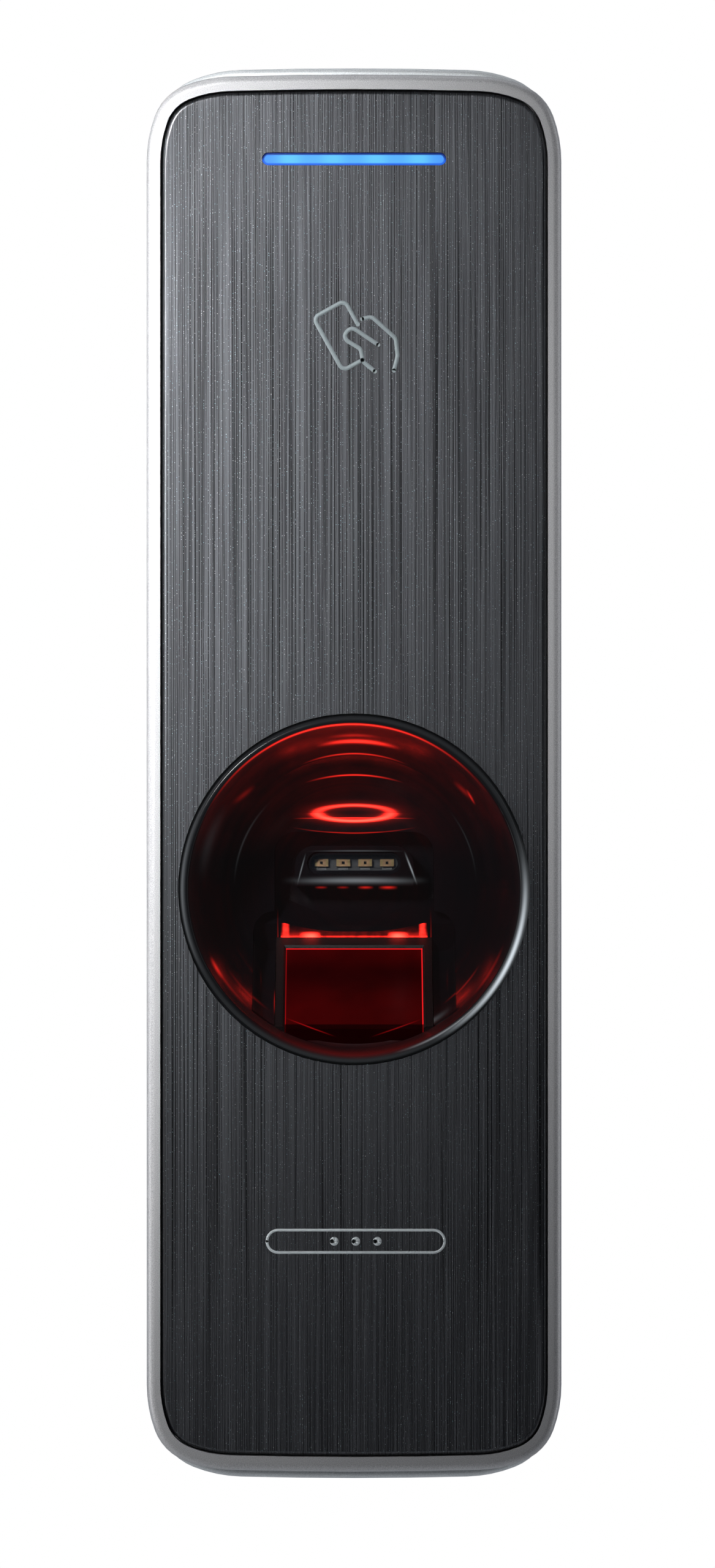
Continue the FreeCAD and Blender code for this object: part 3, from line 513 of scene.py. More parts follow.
def bowl_glow(tree, where):
    """Dim red light of the upper bowl and of its foot, in faint rings."""
    local = add(tree, "Mapping", {"Vector": where, "Location": SCOOP_AXIS}, vector_type="TEXTURE").outputs[0]
    axes = add(tree, "SeparateXYZ", {"Vector": local}).outputs
    flat = add(tree, "VectorMath", {0: local, 1: (1.0, 0.0, 1.0)}, operation="MULTIPLY").outputs[0]
    reach = add(tree, "VectorMath", {0: flat}, operation="LENGTH").outputs["Value"]
    ring_place = add(tree, "CombineXYZ", {"X": reach}).outputs[0]
    patterns = []
    for place, size in ((ring_place, RING_GAP), (where, CLOUD_SIZE)):
        noise = add(tree, "TexNoise", {"Vector": place, "Scale": 1 / size, "Detail": 2.0}).outputs["Fac"]
        shares = {"From Min": 0.3, "From Max": 0.7, "To Min": 0.6, "To Max": 1.4}
        patterns.append(add(tree, "MapRange", {"Value": noise, **shares}).outputs[0])
    upper = mask(tree, axes["Z"], 2.5, 12.0, 0.003, 0.020)
    foot = mask(tree, axes["Z"], -11.0, -17.0, 0.0, 0.004)
    brighter = mask(tree, reach, 16.0, 20.0, 0.6, 1.8)
    bowl_only = mask(tree, reach, LIP_START, LIP_START + 0.3, 1.0, 0.0)
    side = add(tree, "Math", {0: axes["X"]}, operation="ABSOLUTE").outputs[0]
    middle = mask(tree, side, 2.0, 15.0, 1.1, 0.6)
    return product(tree, [total(tree, [upper, foot]), brighter, bowl_only, middle, *patterns])


def glass_axes(tree, where):
    """Across the glass (X), up its slope from its foot (Y), and out of it (Z), in metres."""
    local = add(
        tree, "Mapping",
        {"Vector": where, "Location": GLASS_FOOT, "Rotation": (SLOPE, 0, 0)},
        vector_type="TEXTURE",
    ).outputs[0]
    return add(tree, "SeparateXYZ", {"Vector": local}).outputs


def step_light(tree, where):
    """The lit step: two hot spots, bright ends, and a thin line between them."""
    axes = glass_axes(tree, where)
    near = mask(tree, axes["Y"], STEP_ALONG - 0.2, STEP_ALONG - 0.1)
    far = mask(tree, axes["Y"], STEP_ALONG + 0.1, STEP_ALONG + 0.2, 1.0, 0.0)
    side = add(tree, "Math", {0: axes["X"]}, operation="ABSOLUTE").outputs[0]
    spot_in = mask(tree, side, HOT_SPOT - 1.3, HOT_SPOT)
    spot_out = mask(tree, side, HOT_SPOT, HOT_SPOT + 1.6, 1.0, 0.03)
    post_in = mask(tree, side, END_POST - 0.5, END_POST - 0.1)
    post_out = mask(tree, side, END_POST + 0.1, END_POST + 0.6, 1.0, 0.0)
    within = mask(tree, side, STEP_HALF - 0.1, STEP_HALF, 1.0, 0.0)
    under = mask(tree, axes["Z"], STEP_HIGH, STEP_HIGH - 0.1)
    low = mask(tree, axes["Z"], 0.9, 0.2)
    spots = product(tree, [spot_in, spot_out, low])
    flicker = add(tree, "TexNoise", {"Vector": where, "Scale": 1 / FLICKER_SIZE, "Detail": 3.0})
    uneven = add(
        tree, "MapRange",
        {"Value": flicker.outputs["Fac"], "From Min": 0.35, "From Max": 0.65, "To Min": 0.6, "To Max": 1.3},
    ).outputs[0]
    ends = product(tree, [post_in, post_out, 1.8])
    line = product(tree, [mask(tree, axes["Z"], 0.30, 0.10), 1.2])
    base = product(tree, [mask(tree, axes["Z"], 1.9, 0.0), 0.12])
    band = product(tree, [uneven, total(tree, [ends, line, base])])
    hot = product(tree, [spots, 10.0])
    return product(tree, [near, far, within, under, total(tree, [band, hot])])


# %% Polished scoop
LAMP_RED, STUDIO_GREY = linear("#ff291f")[:3], linear("#edf7ff")[:3]
# a faint painted reflection of the studio, laid over the whole front of the bowl
PAINTED_STUDIO_SHEEN = 0.003
FACES_FRONT = -0.05  # a normal's Y below this looks out of the scoop


def polished_black_with_painted_light():
    material, tree, shader, where = start_material(
        "polished_abs_black", Base_Color=linear("#060507"), Specular_IOR_Level=0.08, Emission_Strength=1.0
    )
    lights = [stroke(tree, where, *sizes) for sizes in (*BOWL_STROKES, *GLASS_STROKES)]
    bowl = total(tree, [*lights, bowl_glow(tree, where)])
    facing = add(tree, "SeparateXYZ", {"Vector": add(tree, "NewGeometry").outputs["Normal"]}).outputs["Y"]
    front = add(tree, "Math", {0: facing, 1: FACES_FRONT}, operation="LESS_THAN").outputs[0]
    light = total(tree, [product(tree, [bowl, front]), step_light(tree, where)])
    # painted reflections of the studio: the pale strokes and the faint sheen, in grey light
    pale = total(tree, [*[stroke(tree, where, *sizes) for sizes in PALE_STROKES], PAINTED_STUDIO_SHEEN])
    grey = product(tree, [pale, front])
    red = add(tree, "VectorMath", {0: LAMP_RED, "Scale": light}, operation="SCALE").outputs[0]
    white = add(tree, "VectorMath", {0: STUDIO_GREY, "Scale": grey}, operation="SCALE").outputs[0]
    glow = add(tree, "VectorMath", {0: red, 1: white}, operation="ADD").outputs[0]
    tree.links.new(glow, shader.inputs["Emission Color"])
    haze = add(tree, "TexNoise", {"Vector": where, "Scale": 1 / HAZE_SIZE, "Detail": 3.0}).outputs["Fac"]
    rough = add(
        tree, "MapRange",
        {"Value": haze, "From Min": 0.3, "From Max": 0.7, "To Min": 0.15, "To Max": 0.24},
    ).outputs[0]
    tree.links.new(rough, shader.inputs["Roughness"])
    return material


dress(polished_black_with_painted_light(), "finger_scoop")


# %% [markdown]
# ## Moulded, turned and printed parts
#
# Most other parts are one material with a fine grain: moulded plastic and rubber have a soft texture,
# rolled or turned metal has streaks along one way. One function draws both, because they differ only
# in the two tones, the size of the grain, and how far it is stretched.

# %% Grained finishes
def grained(name, light, dark, size, relief=0.01, stretch=(1.0, 1.0, 1.0), **settings):
    """Two tones in a grain of a given size in millimetres, stretched where a factor is under 1."""
    material, tree, shader, where = start_material(name, **settings)
    place = add(tree, "Mapping", {"Vector": where, "Scale": stretch}).outputs[0]
    grain = add(
        tree, "TexNoise", {"Vector": place, "Scale": 1 / (size * MM), "Detail": 3.0, "Roughness": 0.65}
    ).outputs["Fac"]
    grade = add(tree, "MapRange", {"Value": grain, "From Min": 0.3, "From Max": 0.7}).outputs[0]
    tone = add(tree, "Mix", {"Factor": grade, "A": linear(dark), "B": linear(light)}, data_type="RGBA")
    tree.links.new(tone.outputs["Result"], shader.inputs["Base Color"])
    bump = add(tree, "Bump", {"Height": grain, "Strength": 0.4, "Distance": relief * MM})
    tree.links.new(bump.outputs[0], shader.inputs["Normal"])
    return material


def metal(name, light, dark, size, stretch, roughness, **settings):
    """A bare metal: fully metallic, with the streaks of its rolling or turning."""
    return grained(name, light, dark, size, 0.004, stretch, Metallic=1.0, Roughness=roughness, **settings)


# %% [markdown]
# The sensor frame is nylon moulded in a spark-eroded tool. Its matt sandy skin catches a little of the
# red light, so its light tone is brown. Rubbers are softly dull, foams are dead matt, and plastics that
# are moulded in a polished tool have a small sharp highlight.

# %% Plastic and rubber
# sandy and almost without highlight
spark_nylon = grained(
    "spark_textured_nylon", "#201819", "#050404", 0.10, 0.04, Roughness=0.6, Specular_IOR_Level=0.2
)
# dull black, with a wide faint sheen
silicone = grained("black_silicone", "#1c1c1e", "#111112", 0.25, 0.01, Roughness=0.75)
# light passes a little way in, which softens the shade
grey_silicone = grained(
    "grey_silicone", "#8f9496", "#7c8184", 0.25, 0.01, Roughness=0.6, Subsurface_Weight=0.1
)
# flat black, with no highlight
foam_tape = grained("acrylic_foam_tape", "#1a1a1b", "#0f0f10", 0.15, 0.02, Roughness=0.85)
# dark pores in a grey skin
foam = grained("open_cell_foam", "#5a5b5e", "#2c2c2f", 0.30, 0.08, Roughness=0.95)
# charcoal with a fine mineral grain
epoxy = grained("black_mould_epoxy", "#1d1d1f", "#141415", 0.12, 0.02, Roughness=0.55)
# half gloss, as from a plain steel tool
black_pbt = grained("black_pbt", "#19191a", "#121213", 0.20, 0.01, Roughness=0.45)
blue_pbt = grained("blue_pbt", "#23509b", "#1c4489", 0.25, 0.01, Roughness=0.38)
# creamy, not pure white
white_nylon = grained(
    "white_nylon", "#e6e2d6", "#d6d1c3", 0.30, 0.01, Roughness=0.5, Subsurface_Weight=0.05
)
# smooth and waxy
acetal = grained("white_acetal", "#eeeeea", "#e2e2dd", 0.40, 0.01, Roughness=0.35, Subsurface_Weight=0.1)
# dark grey and slightly gritty
ferrite = grained("sintered_ferrite", "#3a3a3d", "#232326", 0.20, 0.02, Roughness=0.6)
# warm tan, so that the chips show through the window
ceramic = grained("amber_ceramic", "#d8b184", "#b98e60", 0.25, 0.01, Roughness=0.45)
# warm white, from the phosphor under it
lamp_epoxy = grained("white_lamp_epoxy", "#f0ede2", "#dcd8ca", 0.30, 0.01, Roughness=0.4)
dress(spark_nylon, "sensor_frame", "sensor_housing")
dress(silicone, "case_gasket", "cable_gland", "scoop_seal")
dress(grey_silicone, "tamper_dome", "reset_dome")
dress(foam_tape, "cover_tape")
dress(foam, "antenna_pads")
dress(epoxy, "board_chips")
dress(black_pbt, "buzzer", "tamper_switch", "reset_switch")
dress(blue_pbt, "relay")
dress(white_nylon, "board_sockets")
dress(acetal, "tamper_plunger", "reset_button")
dress(ferrite, "ferrite_sheet")
dress(ceramic, "ir_lamps")
dress(lamp_epoxy, "indicator_lamps", "sensor_lamps")

# %% [markdown]
# The bracket is cold-rolled steel with a thin zinc plating: the rolling leaves fine lines along it, and
# the plating a faint cloud. Screws are turned, so their streaks run round them, which for a small part
# reads the same as streaks across its axis. Tin plate is bright and a little milky, drawn aluminium has
# streaks along its draw, copper is etched to a soft pink, and brass is yellow with a clean shine.

# %% Metals
plated_steel = metal("zinc_plated_steel", "#c9cccf", "#a7abaf", 0.30, (0.06, 1.0, 1.0), 0.38)
stainless = metal("turned_stainless", "#c8c8c6", "#a2a2a0", 0.12, (0.3, 0.3, 1.0), 0.28)
tin_plate = metal("tin_plate", "#d3d5d6", "#bcbfc1", 0.35, (1.0, 1.0, 0.1), 0.32)
drawn_aluminium = metal("drawn_aluminium", "#d7d8da", "#c3c5c8", 0.20, (1.0, 0.08, 1.0), 0.3)
copper = metal("etched_copper", "#d98b5c", "#c07646", 0.20, (1.0, 1.0, 1.0), 0.35)
brass = metal("turned_brass", "#d1ad62", "#b8934a", 0.12, (1.0, 1.0, 0.2), 0.3)
dress(plated_steel, "wall_bracket")
dress(stainless, "lock_screw")
dress(tin_plate, "processor_shield", "case_screws", "board_screws")
dress(drawn_aluminium, "capacitors")
dress(copper, "antenna_coil")
dress(brass, "screw_insert")


# %% [markdown]
# ## Circuit boards
#
# A board is glass-filled epoxy under solder mask, with copper tracks that show as a slightly lighter
# green. Stretched Voronoi cells give the straight-sided fields and the gaps between them. The lamp
# board has a plain grey mask, dark enough for its pale lamps to stand out.

# %% Solder mask
TRACK_FIELD, TRACK_RELIEF = 3.2 * MM, 0.03 * MM


def board_finish(name, mask_colour, track_colour):
    material, tree, shader, where = start_material(name, Roughness=0.35, Coat_Weight=0.3)
    place = add(tree, "Mapping", {"Vector": where, "Scale": (1.0, 0.0, 0.6)}).outputs[0]
    cells = add(
        tree, "TexVoronoi", {"Vector": place, "Scale": 1 / TRACK_FIELD, "Randomness": 0.75},
        feature="F1", distance="CHEBYCHEV",
    )
    lanes = add(tree, "Math", {0: cells.outputs["Distance"], 1: 5.0}, operation="MULTIPLY").outputs[0]
    wave = add(tree, "Math", {0: lanes, 1: 1.0}, operation="PINGPONG").outputs[0]
    track = add(tree, "MapRange", {"Value": wave, "From Min": 0.45, "From Max": 0.55}).outputs[0]
    tone = add(
        tree, "Mix", {"Factor": track, "A": linear(mask_colour), "B": linear(track_colour)}, data_type="RGBA"
    )
    tree.links.new(tone.outputs["Result"], shader.inputs["Base Color"])
    bump = add(tree, "Bump", {"Height": track, "Strength": 0.3, "Distance": TRACK_RELIEF})
    tree.links.new(bump.outputs[0], shader.inputs["Normal"])
    return material


green_mask = board_finish("green_solder_mask", "#0d4a2a", "#146b3c")
grey_mask = board_finish("grey_solder_mask", "#4a4c4e", "#55575a")
dress(green_mask, "main_board", "antenna_board", "sensor_board")
dress(grey_mask, "ir_board")


# %% [markdown]
# The ribbon is polyimide film, amber and clear, over a row of flat copper strips. The strips lie a
# millimetre apart, so a wave across the ribbon draws them. The label is silver polyester, which is satin
# and pale, with nothing on it but a dark border.

# %% Ribbon and label
STRIP_PITCH = 1.0 * MM
BORDER_INSET, BORDER_WIDTH = 1.6 * MM, 0.34


def ribbon_finish():
    material, tree, shader, where = start_material("polyimide_ribbon", Roughness=0.25)
    across = add(tree, "SeparateXYZ", {"Vector": where}).outputs["X"]
    wave = add(tree, "Math", {0: across, 1: STRIP_PITCH / 2}, operation="PINGPONG").outputs[0]
    strip = mask(tree, wave, 0.20, 0.26)
    tone = add(
        tree, "Mix", {"Factor": strip, "A": linear("#b3701f"), "B": linear("#d9924a")}, data_type="RGBA"
    )
    tree.links.new(tone.outputs["Result"], shader.inputs["Base Color"])
    return material


def label_finish():
    """Blank silver polyester label with a printed border."""
    material, tree, shader, where = start_material("silver_polyester_label", Roughness=0.4, Metallic=0.3)
    low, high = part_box("rating_label")
    local = add(
        tree, "Mapping", {"Vector": where, "Location": (low + high) / 2}, vector_type="TEXTURE"
    ).outputs[0]
    size = (high - low) / 2
    ends = add(tree, "VectorMath", {0: local}, operation="ABSOLUTE").outputs[0]
    axes = add(tree, "SeparateXYZ", {"Vector": ends}).outputs
    right = add(tree, "Math", {0: axes["X"], 1: size.x - BORDER_INSET}, operation="SUBTRACT").outputs[0]
    top = add(tree, "Math", {0: axes["Z"], 1: size.z - BORDER_INSET}, operation="SUBTRACT").outputs[0]
    reach = add(tree, "Math", {0: right, 1: top}, operation="MAXIMUM").outputs[0]
    inner = mask(tree, reach, -0.02, 0.02)
    outer = mask(tree, reach, BORDER_WIDTH - 0.02, BORDER_WIDTH + 0.02, 1.0, 0.0)
    line = product(tree, [inner, outer])
    tone = add(
        tree, "Mix", {"Factor": line, "A": linear("#c6c8ca"), "B": linear("#3b3d40")}, data_type="RGBA"
    )
    tree.links.new(tone.outputs["Result"], shader.inputs["Base Color"])
    return material


dress(ribbon_finish(), "ribbon_cable")
dress(label_finish(), "rating_label")


# %% [markdown]
# ## Glass and clear parts
#
# The sensor's prism is optical glass, flooded with red from below. From the front it is a deep red that
# is darkest a third of the way down, with bright lines where light leaves its polished edges. Below its
# foot it is nearly dark. The lens is coated, so it is dark blue with one hard highlight, and the hood's
# window is clear polycarbonate with a faint grey tint, through which the lamp chips show.

# %% Lit glass
GLASS_HALF, GLASS_LONG = 8.4, 16.2
GLASS_CLOUD = 5.0 * MM


def lit_glass_finish():
    material, tree, shader, where = start_material(
        "red_lit_optical_glass", Base_Color=linear("#0a0102"), Roughness=0.3, Specular_IOR_Level=0.05,
        Emission_Color=linear("#ff1d22"),
    )
    axes = glass_axes(tree, where)
    foot = mask(tree, axes["Y"], 11.0, 2.0, 0.013, 0.036)
    head = mask(tree, axes["Y"], 11.0, GLASS_LONG, 0.0, 0.02)
    cloud = add(tree, "TexNoise", {"Vector": where, "Scale": 1 / GLASS_CLOUD, "Detail": 3.0}).outputs["Fac"]
    uneven = add(
        tree, "MapRange",
        {"Value": cloud, "From Min": 0.3, "From Max": 0.7, "To Min": 0.75, "To Max": 1.3},
    ).outputs[0]
    top_line = mask(tree, axes["Y"], GLASS_LONG - 0.22, GLASS_LONG - 0.08, 0.0, 1.3)
    right_line = mask(tree, axes["X"], GLASS_HALF - 0.16, GLASS_HALF - 0.04, 0.0, 1.3)
    left_line = mask(tree, axes["X"], 0.16 - GLASS_HALF, 0.04 - GLASS_HALF, 0.0, 0.25)
    body = product(tree, [total(tree, [foot, head]), uneven])
    lit = mask(tree, axes["Y"], -0.2, 0.1, 0.12, 1.0)
    whole = product(tree, [total(tree, [body, top_line, right_line, left_line]), lit])
    lines = [stroke(tree, where, *sizes) for sizes in GLASS_STROKES]
    tree.links.new(total(tree, [whole, *lines]), shader.inputs["Emission Strength"])
    return material


dress(lit_glass_finish(), "sensor_prism")

# %% Lens and window
lens_glass = grained("coated_lens", "#232b3a", "#1b2230", 1.0, 0.001, Roughness=0.05, Coat_Weight=1.0)
window_plastic = start_material(
    "clear_polycarbonate", Base_Color=linear("#202328"), Roughness=0.05, Alpha=0.25, IOR=1.58
)[0]
dress(lens_glass, "sensor_lens")
dress(window_plastic, "ir_window")


# %% [markdown]
# The light bar is milky acrylic with blue lamps behind it. It is brightest in its middle, and a deep
# blue at its edge, where the light has left it. The distance from the bar's outline drives that. The
# edge's upper half is darker still, a painted shade cast by the slot's upper wall.

# %% Light bar
bar_low, bar_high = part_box("light_guide")
BAR_MID = Vector(((bar_low.x + bar_high.x) / 2, 0, (bar_low.z + bar_high.z) / 2))
BAR_HALF, BAR_R, LAMP_PITCH = 11.05, 0.725, 5.2


def light_bar_finish():
    material, tree, shader, where = start_material(
        "lit_opal_acrylic", Base_Color=linear("#0b2a70"), Roughness=0.25, Emission_Strength=1.0
    )
    local = add(tree, "Mapping", {"Vector": where, "Location": BAR_MID}, vector_type="TEXTURE").outputs[0]
    axes = add(tree, "SeparateXYZ", {"Vector": local}).outputs
    side = add(tree, "Math", {0: axes["X"]}, operation="ABSOLUTE").outputs[0]
    past = add(tree, "Math", {0: side, 1: (BAR_HALF - BAR_R) * MM}, operation="SUBTRACT").outputs[0]
    past = add(tree, "Math", {0: past, 1: 0.0}, operation="MAXIMUM").outputs[0]
    spoke = add(tree, "CombineXYZ", {"X": past, "Z": axes["Z"]}).outputs[0]
    reach = add(tree, "VectorMath", {0: spoke}, operation="LENGTH").outputs["Value"]
    edge = mask(tree, reach, BAR_R - 0.34, BAR_R - 0.12)
    lamps = add(tree, "Math", {0: axes["X"], 1: LAMP_PITCH / 2 * MM}, operation="PINGPONG").outputs[0]
    between = mask(tree, lamps, 0.4, 2.4)
    body = add(
        tree, "Mix", {"Factor": between, "A": linear("#57b0ff"), "B": linear("#62c6ff")}, data_type="RGBA"
    )
    ends = mask(tree, side, 8.2, 10.6)
    body = add(
        tree, "Mix", {"Factor": ends, "A": body.outputs["Result"], "B": linear("#4d9cf6")}, data_type="RGBA"
    )
    # painted shade: the edge's upper half is darker, where the slot's upper wall shades it
    shade = mask(tree, axes["Z"], -0.3, 0.3)
    edge_with_wall_shade = add(
        tree, "Mix", {"Factor": shade, "A": linear("#1f5fd0"), "B": linear("#081a55")}, data_type="RGBA"
    )
    body_tone, edge_tone_with_wall_shade = body.outputs["Result"], edge_with_wall_shade.outputs["Result"]
    tone = add(tree, "Mix", {"Factor": edge, "A": body_tone, "B": edge_tone_with_wall_shade}, data_type="RGBA")
    tree.links.new(tone.outputs["Result"], shader.inputs["Emission Color"])
    return material


dress(light_bar_finish(), "light_guide")


# %% [markdown]
# ## Pieces that repeat or follow a path
#
# Prints, lamp dies, chip legs and the small parts on a board repeat one small shape at many places, or
# run one section along a path. Geometry Nodes do both. The helpers below start and end a tree in the
# same way each time, and turn its result into a plain mesh that rides on the reader.

# %% Node tree helpers
def start_tree(name, **sizes):
    """A Geometry Nodes tree that takes a mesh and named sizes in metres."""
    tree = bpy.data.node_groups.new(name, "GeometryNodeTree")
    tree.interface.new_socket("Geometry", in_out="INPUT", socket_type="NodeSocketGeometry")
    tree.interface.new_socket("Geometry", in_out="OUTPUT", socket_type="NodeSocketGeometry")
    for label, value in sizes.items():
        kind = "NodeSocketVector" if isinstance(value, tuple) else "NodeSocketFloat"
        socket = tree.interface.new_socket(label.replace("_", " "), in_out="INPUT", socket_type=kind)
        socket.default_value = value
    tree.interface.new_socket("Material", in_out="INPUT", socket_type="NodeSocketMaterial")
    return tree, add(tree, "NodeGroupInput").outputs


def end_tree(tree, given, geometry):
    real = add(tree, "RealizeInstances", {"Geometry": geometry}).outputs[0]
    coloured = add(tree, "SetMaterial", {"Geometry": real, "Material": given["Material"]}).outputs[0]
    add(tree, "NodeGroupOutput", {"Geometry": coloured})
    return tree


def grow(name, tree, slot, points, edges=(), body="reader", **sizes):
    """Runs a tree on points (and edges) and keeps the result as a plain mesh on a body."""
    seed = bpy.data.meshes.new(name + "_seed")
    seed.from_pydata([Vector(p) for p in points], list(edges), [])
    holder = bpy.data.objects.new(name + "_holder", seed)
    scene.collection.objects.link(holder)
    modifier = holder.modifiers.new("grow", "NODES")
    modifier.node_group = tree
    for socket in tree.interface.items_tree:
        label = socket.name.replace(" ", "_")
        if socket.in_out == "INPUT" and label in sizes:
            modifier[socket.identifier] = sizes[label]
    result = bpy.data.meshes.new_from_object(holder.evaluated_get(bpy.context.evaluated_depsgraph_get()))
    bpy.data.objects.remove(holder)
    result.name = name
    piece = bpy.data.objects.new(name, result)
    scene.collection.objects.link(piece)
    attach(piece, body)
    print(name, len(result.polygons), "faces")
    return piece


# %% [markdown]
# ### Prints
#
# The card symbol and a plain mark, a capsule with three dots, are printed in grey ink on the cover. Ink
# is flat and matt beside the film. It could be painted in the cover's material, but a thin ribbon along a
# path, with round corners and round ends, gives it a crisp edge and its own thickness.

# %% Printed line tree
def printed_line_tree():
    tree, given = start_tree("printed_line", Line_Width=0.5 * MM, Thickness=0.02 * MM, Corner=0.4 * MM)
    path = add(tree, "MeshToCurve", {"Mesh": given["Geometry"]}).outputs[0]
    soft = add(
        tree, "FilletCurve",
        {"Curve": path, "Count": 8, "Radius": given["Corner"], "Limit Radius": True},
        mode="POLY",
    ).outputs[0]
    level = add(tree, "SetCurveNormal", {"Curve": soft}, mode="Z_UP").outputs[0]
    section = add(
        tree, "CurvePrimitiveQuadrilateral", {"Width": given["Line Width"], "Height": given["Thickness"]}
    ).outputs[0]
    ribbon = add(
        tree, "CurveToMesh", {"Curve": level, "Profile Curve": section, "Fill Caps": True}
    ).outputs[0]
    radius = add(tree, "ShaderNodeMath", {0: given["Line Width"], 1: 0.5}, operation="MULTIPLY").outputs[0]
    disc = add(
        tree, "MeshCylinder", {"Vertices": 20, "Radius": radius, "Depth": given["Thickness"]}
    ).outputs["Mesh"]
    ends = add(tree, "CurveEndpointSelection").outputs[0]
    caps = add(tree, "InstanceOnPoints", {"Points": soft, "Selection": ends, "Instance": disc}).outputs[0]
    both = add(tree, "JoinGeometry")
    for part in (ribbon, caps):
        tree.links.new(part, both.inputs[0])
    upright = add(
        tree, "Transform", {"Geometry": both.outputs[0], "Rotation": (math.radians(90), 0, 0)}
    ).outputs[0]
    return end_tree(tree, given, upright)


PRINT = printed_line_tree()
INK_THICKNESS = 0.02


def printed(name, slot, ink, paths, centre, line_width, corner, closed=False):
    """Prints paths, given as (right, up) points in millimetres about a centre, on the cover's face."""
    points, edges = [], []
    face = -(COVER_FACE / MM) + INK_THICKNESS / 2
    for path in paths:
        first = len(points)
        points += [((centre[0] + x) * MM, (centre[1] + z) * MM, face * MM) for x, z in path]
        count = len(path)
        edges += [(first + i, first + (i + 1) % count) for i in range(count if closed else count - 1)]
    sizes = {"Line_Width": line_width * MM, "Corner": corner * MM, "Material": ink}
    return grow(name, PRINT, slot, points, edges, **sizes)


# %% Card symbol and mark
grey_ink = grained("grey_printing_ink", "#7f898c", "#778184", 0.3, 0.002, Roughness=0.6)
pale_ink = grained("pale_printing_ink", "#c3cacd", "#b7bec1", 0.3, 0.002, Roughness=0.6)
CARD_W, CARD_H, CARD_TILT = 4.3, 7.3, math.radians(29)
CARD_MID = (-1.45, 0.3)


def on_card(u, v):
    """A point of the tilted card: u across it and v up it, from its middle, as shares of its size."""
    x, z = u * CARD_W, v * CARD_H
    cosine, sine = math.cos(CARD_TILT), math.sin(CARD_TILT)
    return (CARD_MID[0] + x * cosine - z * sine, CARD_MID[1] + x * sine + z * cosine)


card = [on_card(0.5, 0.05), on_card(0.5, 0.5), on_card(-0.5, 0.5), on_card(-0.5, -0.5), on_card(0.12, -0.5)]
thumb = [(2.7, -0.8), (-0.5, 1.35), (-1.75, 0.1), (0.6, -1.3), (0.85, -2.8), (2.3, -4.0)]
hand = [(0.75, 2.3), (1.9, 2.6), (4.8, 0.0), (5.05, -2.1), (4.6, -3.9)]
printed("card_symbol", "socket_white", grey_ink, [card, thumb, hand], (0.2, 52.4), 0.5, 0.75)

MARK_W, MARK_H, MARK_Z = 21.4, 2.7, -56.4
DOT_PITCH, DOT = 2.6, 0.28
CORNERS = ((-1, -1), (1, -1), (1, 1), (-1, 1))
capsule = [(x * MARK_W / 2, z * MARK_H / 2) for x, z in CORNERS]
printed("mark_outline", "socket_white", pale_ink, [capsule], (0.2, MARK_Z), 0.32, MARK_H / 2, closed=True)
dots = [[(i * DOT_PITCH + x * DOT, z * DOT) for x, z in CORNERS] for i in (-1, 0, 1)]
printed("mark_dots", "socket_white", pale_ink, dots, (0.2, MARK_Z), 0.5, DOT, closed=True)


# %% [markdown]
# ### Studs
#
# Everything else that repeats is a small block, set at each point of a list. The block's size is an
# input, so one tree makes lamp dies, solder pads, chip legs and chip parts. Gold plating is soft and
# yellow, and a bare silicon die is a dark, nearly polished chip.

# %% Stud tree
def stud_tree():
    tree, given = start_tree("studs", Block=(1 * MM, 1 * MM, 1 * MM))
    block = add(tree, "MeshCube", {"Size": given["Block"]}).outputs["Mesh"]
    placed = add(tree, "InstanceOnPoints", {"Points": given["Geometry"], "Instance": block}).outputs[0]
    return end_tree(tree, given, placed)


STUDS = stud_tree()


def studs(name, slot, material, places, block):
    """Blocks of one size in millimetres, at places in metres."""
    return grow(name, STUDS, slot, places, Block=tuple(b * MM for b in block), Material=material)


def row(node, count, pitch):
    """Evenly spaced points from left to right through a node's middle, on its front face."""
    low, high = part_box(node)
    middle = (low + high) / 2
    steps = [(i - (count - 1) / 2) * pitch * MM for i in range(count)]
    return [Vector((middle.x + step, low.y, middle.z)) for step in steps]


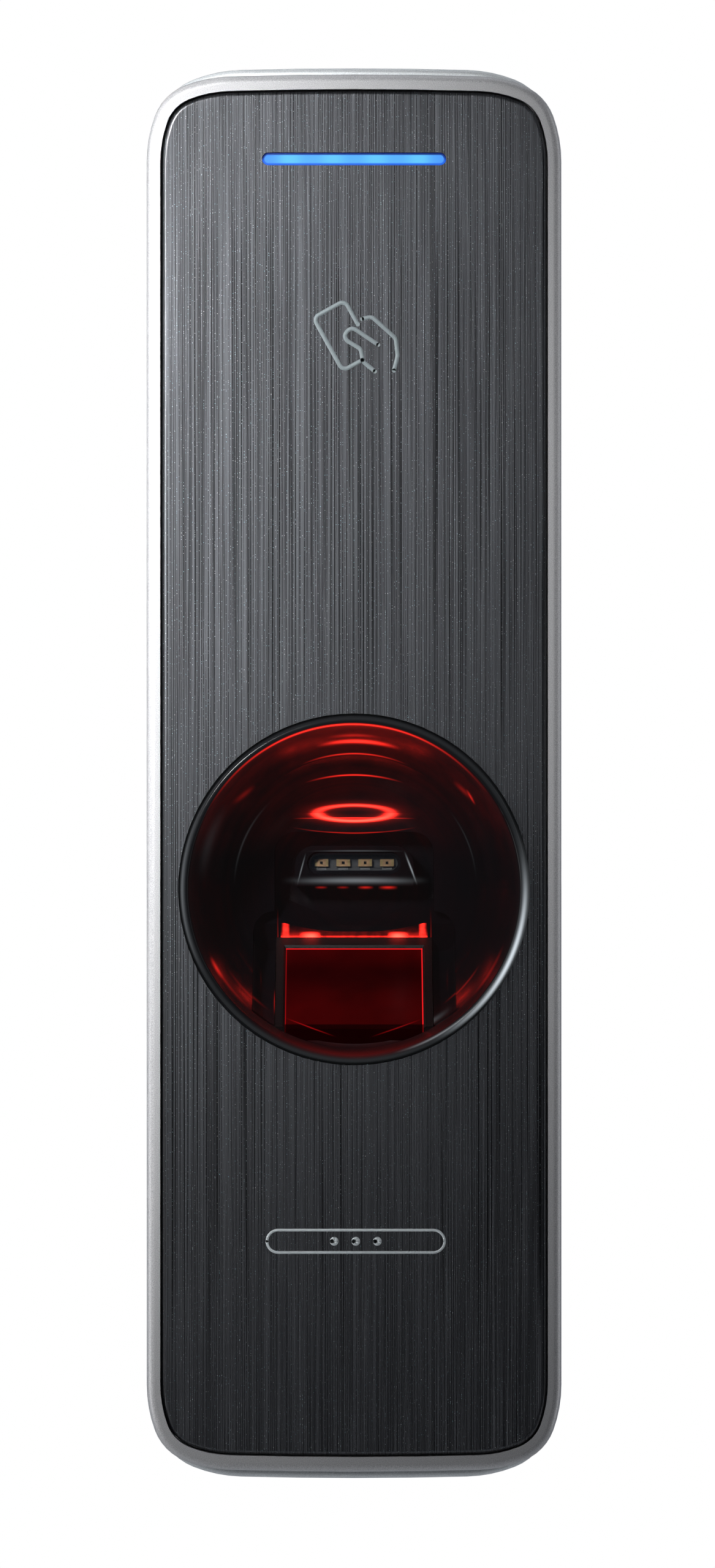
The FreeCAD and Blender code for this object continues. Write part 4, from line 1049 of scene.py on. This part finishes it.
# %% Lamp details
gold = metal("gold_plating", "#d9c48e", "#c2ab72", 0.2, (1.0, 1.0, 1.0), 0.35)
die = grained("silicon_die", "#17130f", "#0d0b09", 0.2, 0.001, Roughness=0.2)
IR_PITCH, PAD_OFF, LAMP_HEIGHT = 2.7, 0.68 * MM, 0.56 * MM
ir_places = row("ir_lamps", 4, IR_PITCH)
studs("ir_lamp_dies", "chip_black", die, ir_places, (0.34, 0.06, 0.34))
ends = [p + Vector((side * PAD_OFF, 0, 0)) for p in ir_places for side in (-1, 1)]
studs("ir_lamp_pads", "insert_brass", gold, ends, (0.24, 0.04, 0.8))
pads = [p + Vector((0, LAMP_HEIGHT, -PAD_OFF)) for p in ir_places]
studs("ir_board_pads", "tin_plate", tin_plate, pads, (1.2, 0.06, 0.3))

# %% Chip legs
BOARD_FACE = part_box("main_board")[0].y
LEG_PITCH, LEG_OUT = 0.65, 0.3
# each chip's middle (right, up), width and height, in millimetres
CHIPS = ((-12.0, 33.0, 3.0, 6.0), (12.0, 33.0, 3.0, 6.0), (-10.0, -43.0, 6.0, 6.0), (9.5, -46.5, 5.0, 7.0))
legs = []
for x, z, width, height in CHIPS:
    count = int((height - 0.6) / LEG_PITCH)
    for side in (-1, 1):
        right = (x + side * (width / 2 + LEG_OUT)) * MM
        for i in range(count):
            up = (i - (count - 1) / 2) * LEG_PITCH
            legs.append(Vector((right, BOARD_FACE - 0.15 * MM, (z + up) * MM)))
studs("chip_legs", "tin_plate", tin_plate, legs, (0.6, 0.3, 0.28))

# %% Small board parts
PARTS_TRIED, CLOSEST = 90, 1.9 * MM
random.seed(7)
tried = []
for _ in range(PARTS_TRIED):
    right, up = random.uniform(-8.5, 8.5), random.uniform(-36, 12)
    tried.append(Vector((right * MM, BOARD_FACE - 0.2 * MM, up * MM)))
clear = [p for i, p in enumerate(tried) if all((p - q).length > CLOSEST for q in tried[:i])]
studs("chip_capacitors", "lamp_amber", ceramic, clear[::2], (0.5, 0.4, 0.8))
studs("chip_resistors", "chip_black", epoxy, clear[1::2], (0.8, 0.35, 0.5))
caps = [p + Vector((0, 0, side * 0.45 * MM)) for p in clear[::2] for side in (-1, 1)]
studs("capacitor_ends", "tin_plate", tin_plate, caps, (0.52, 0.42, 0.2))
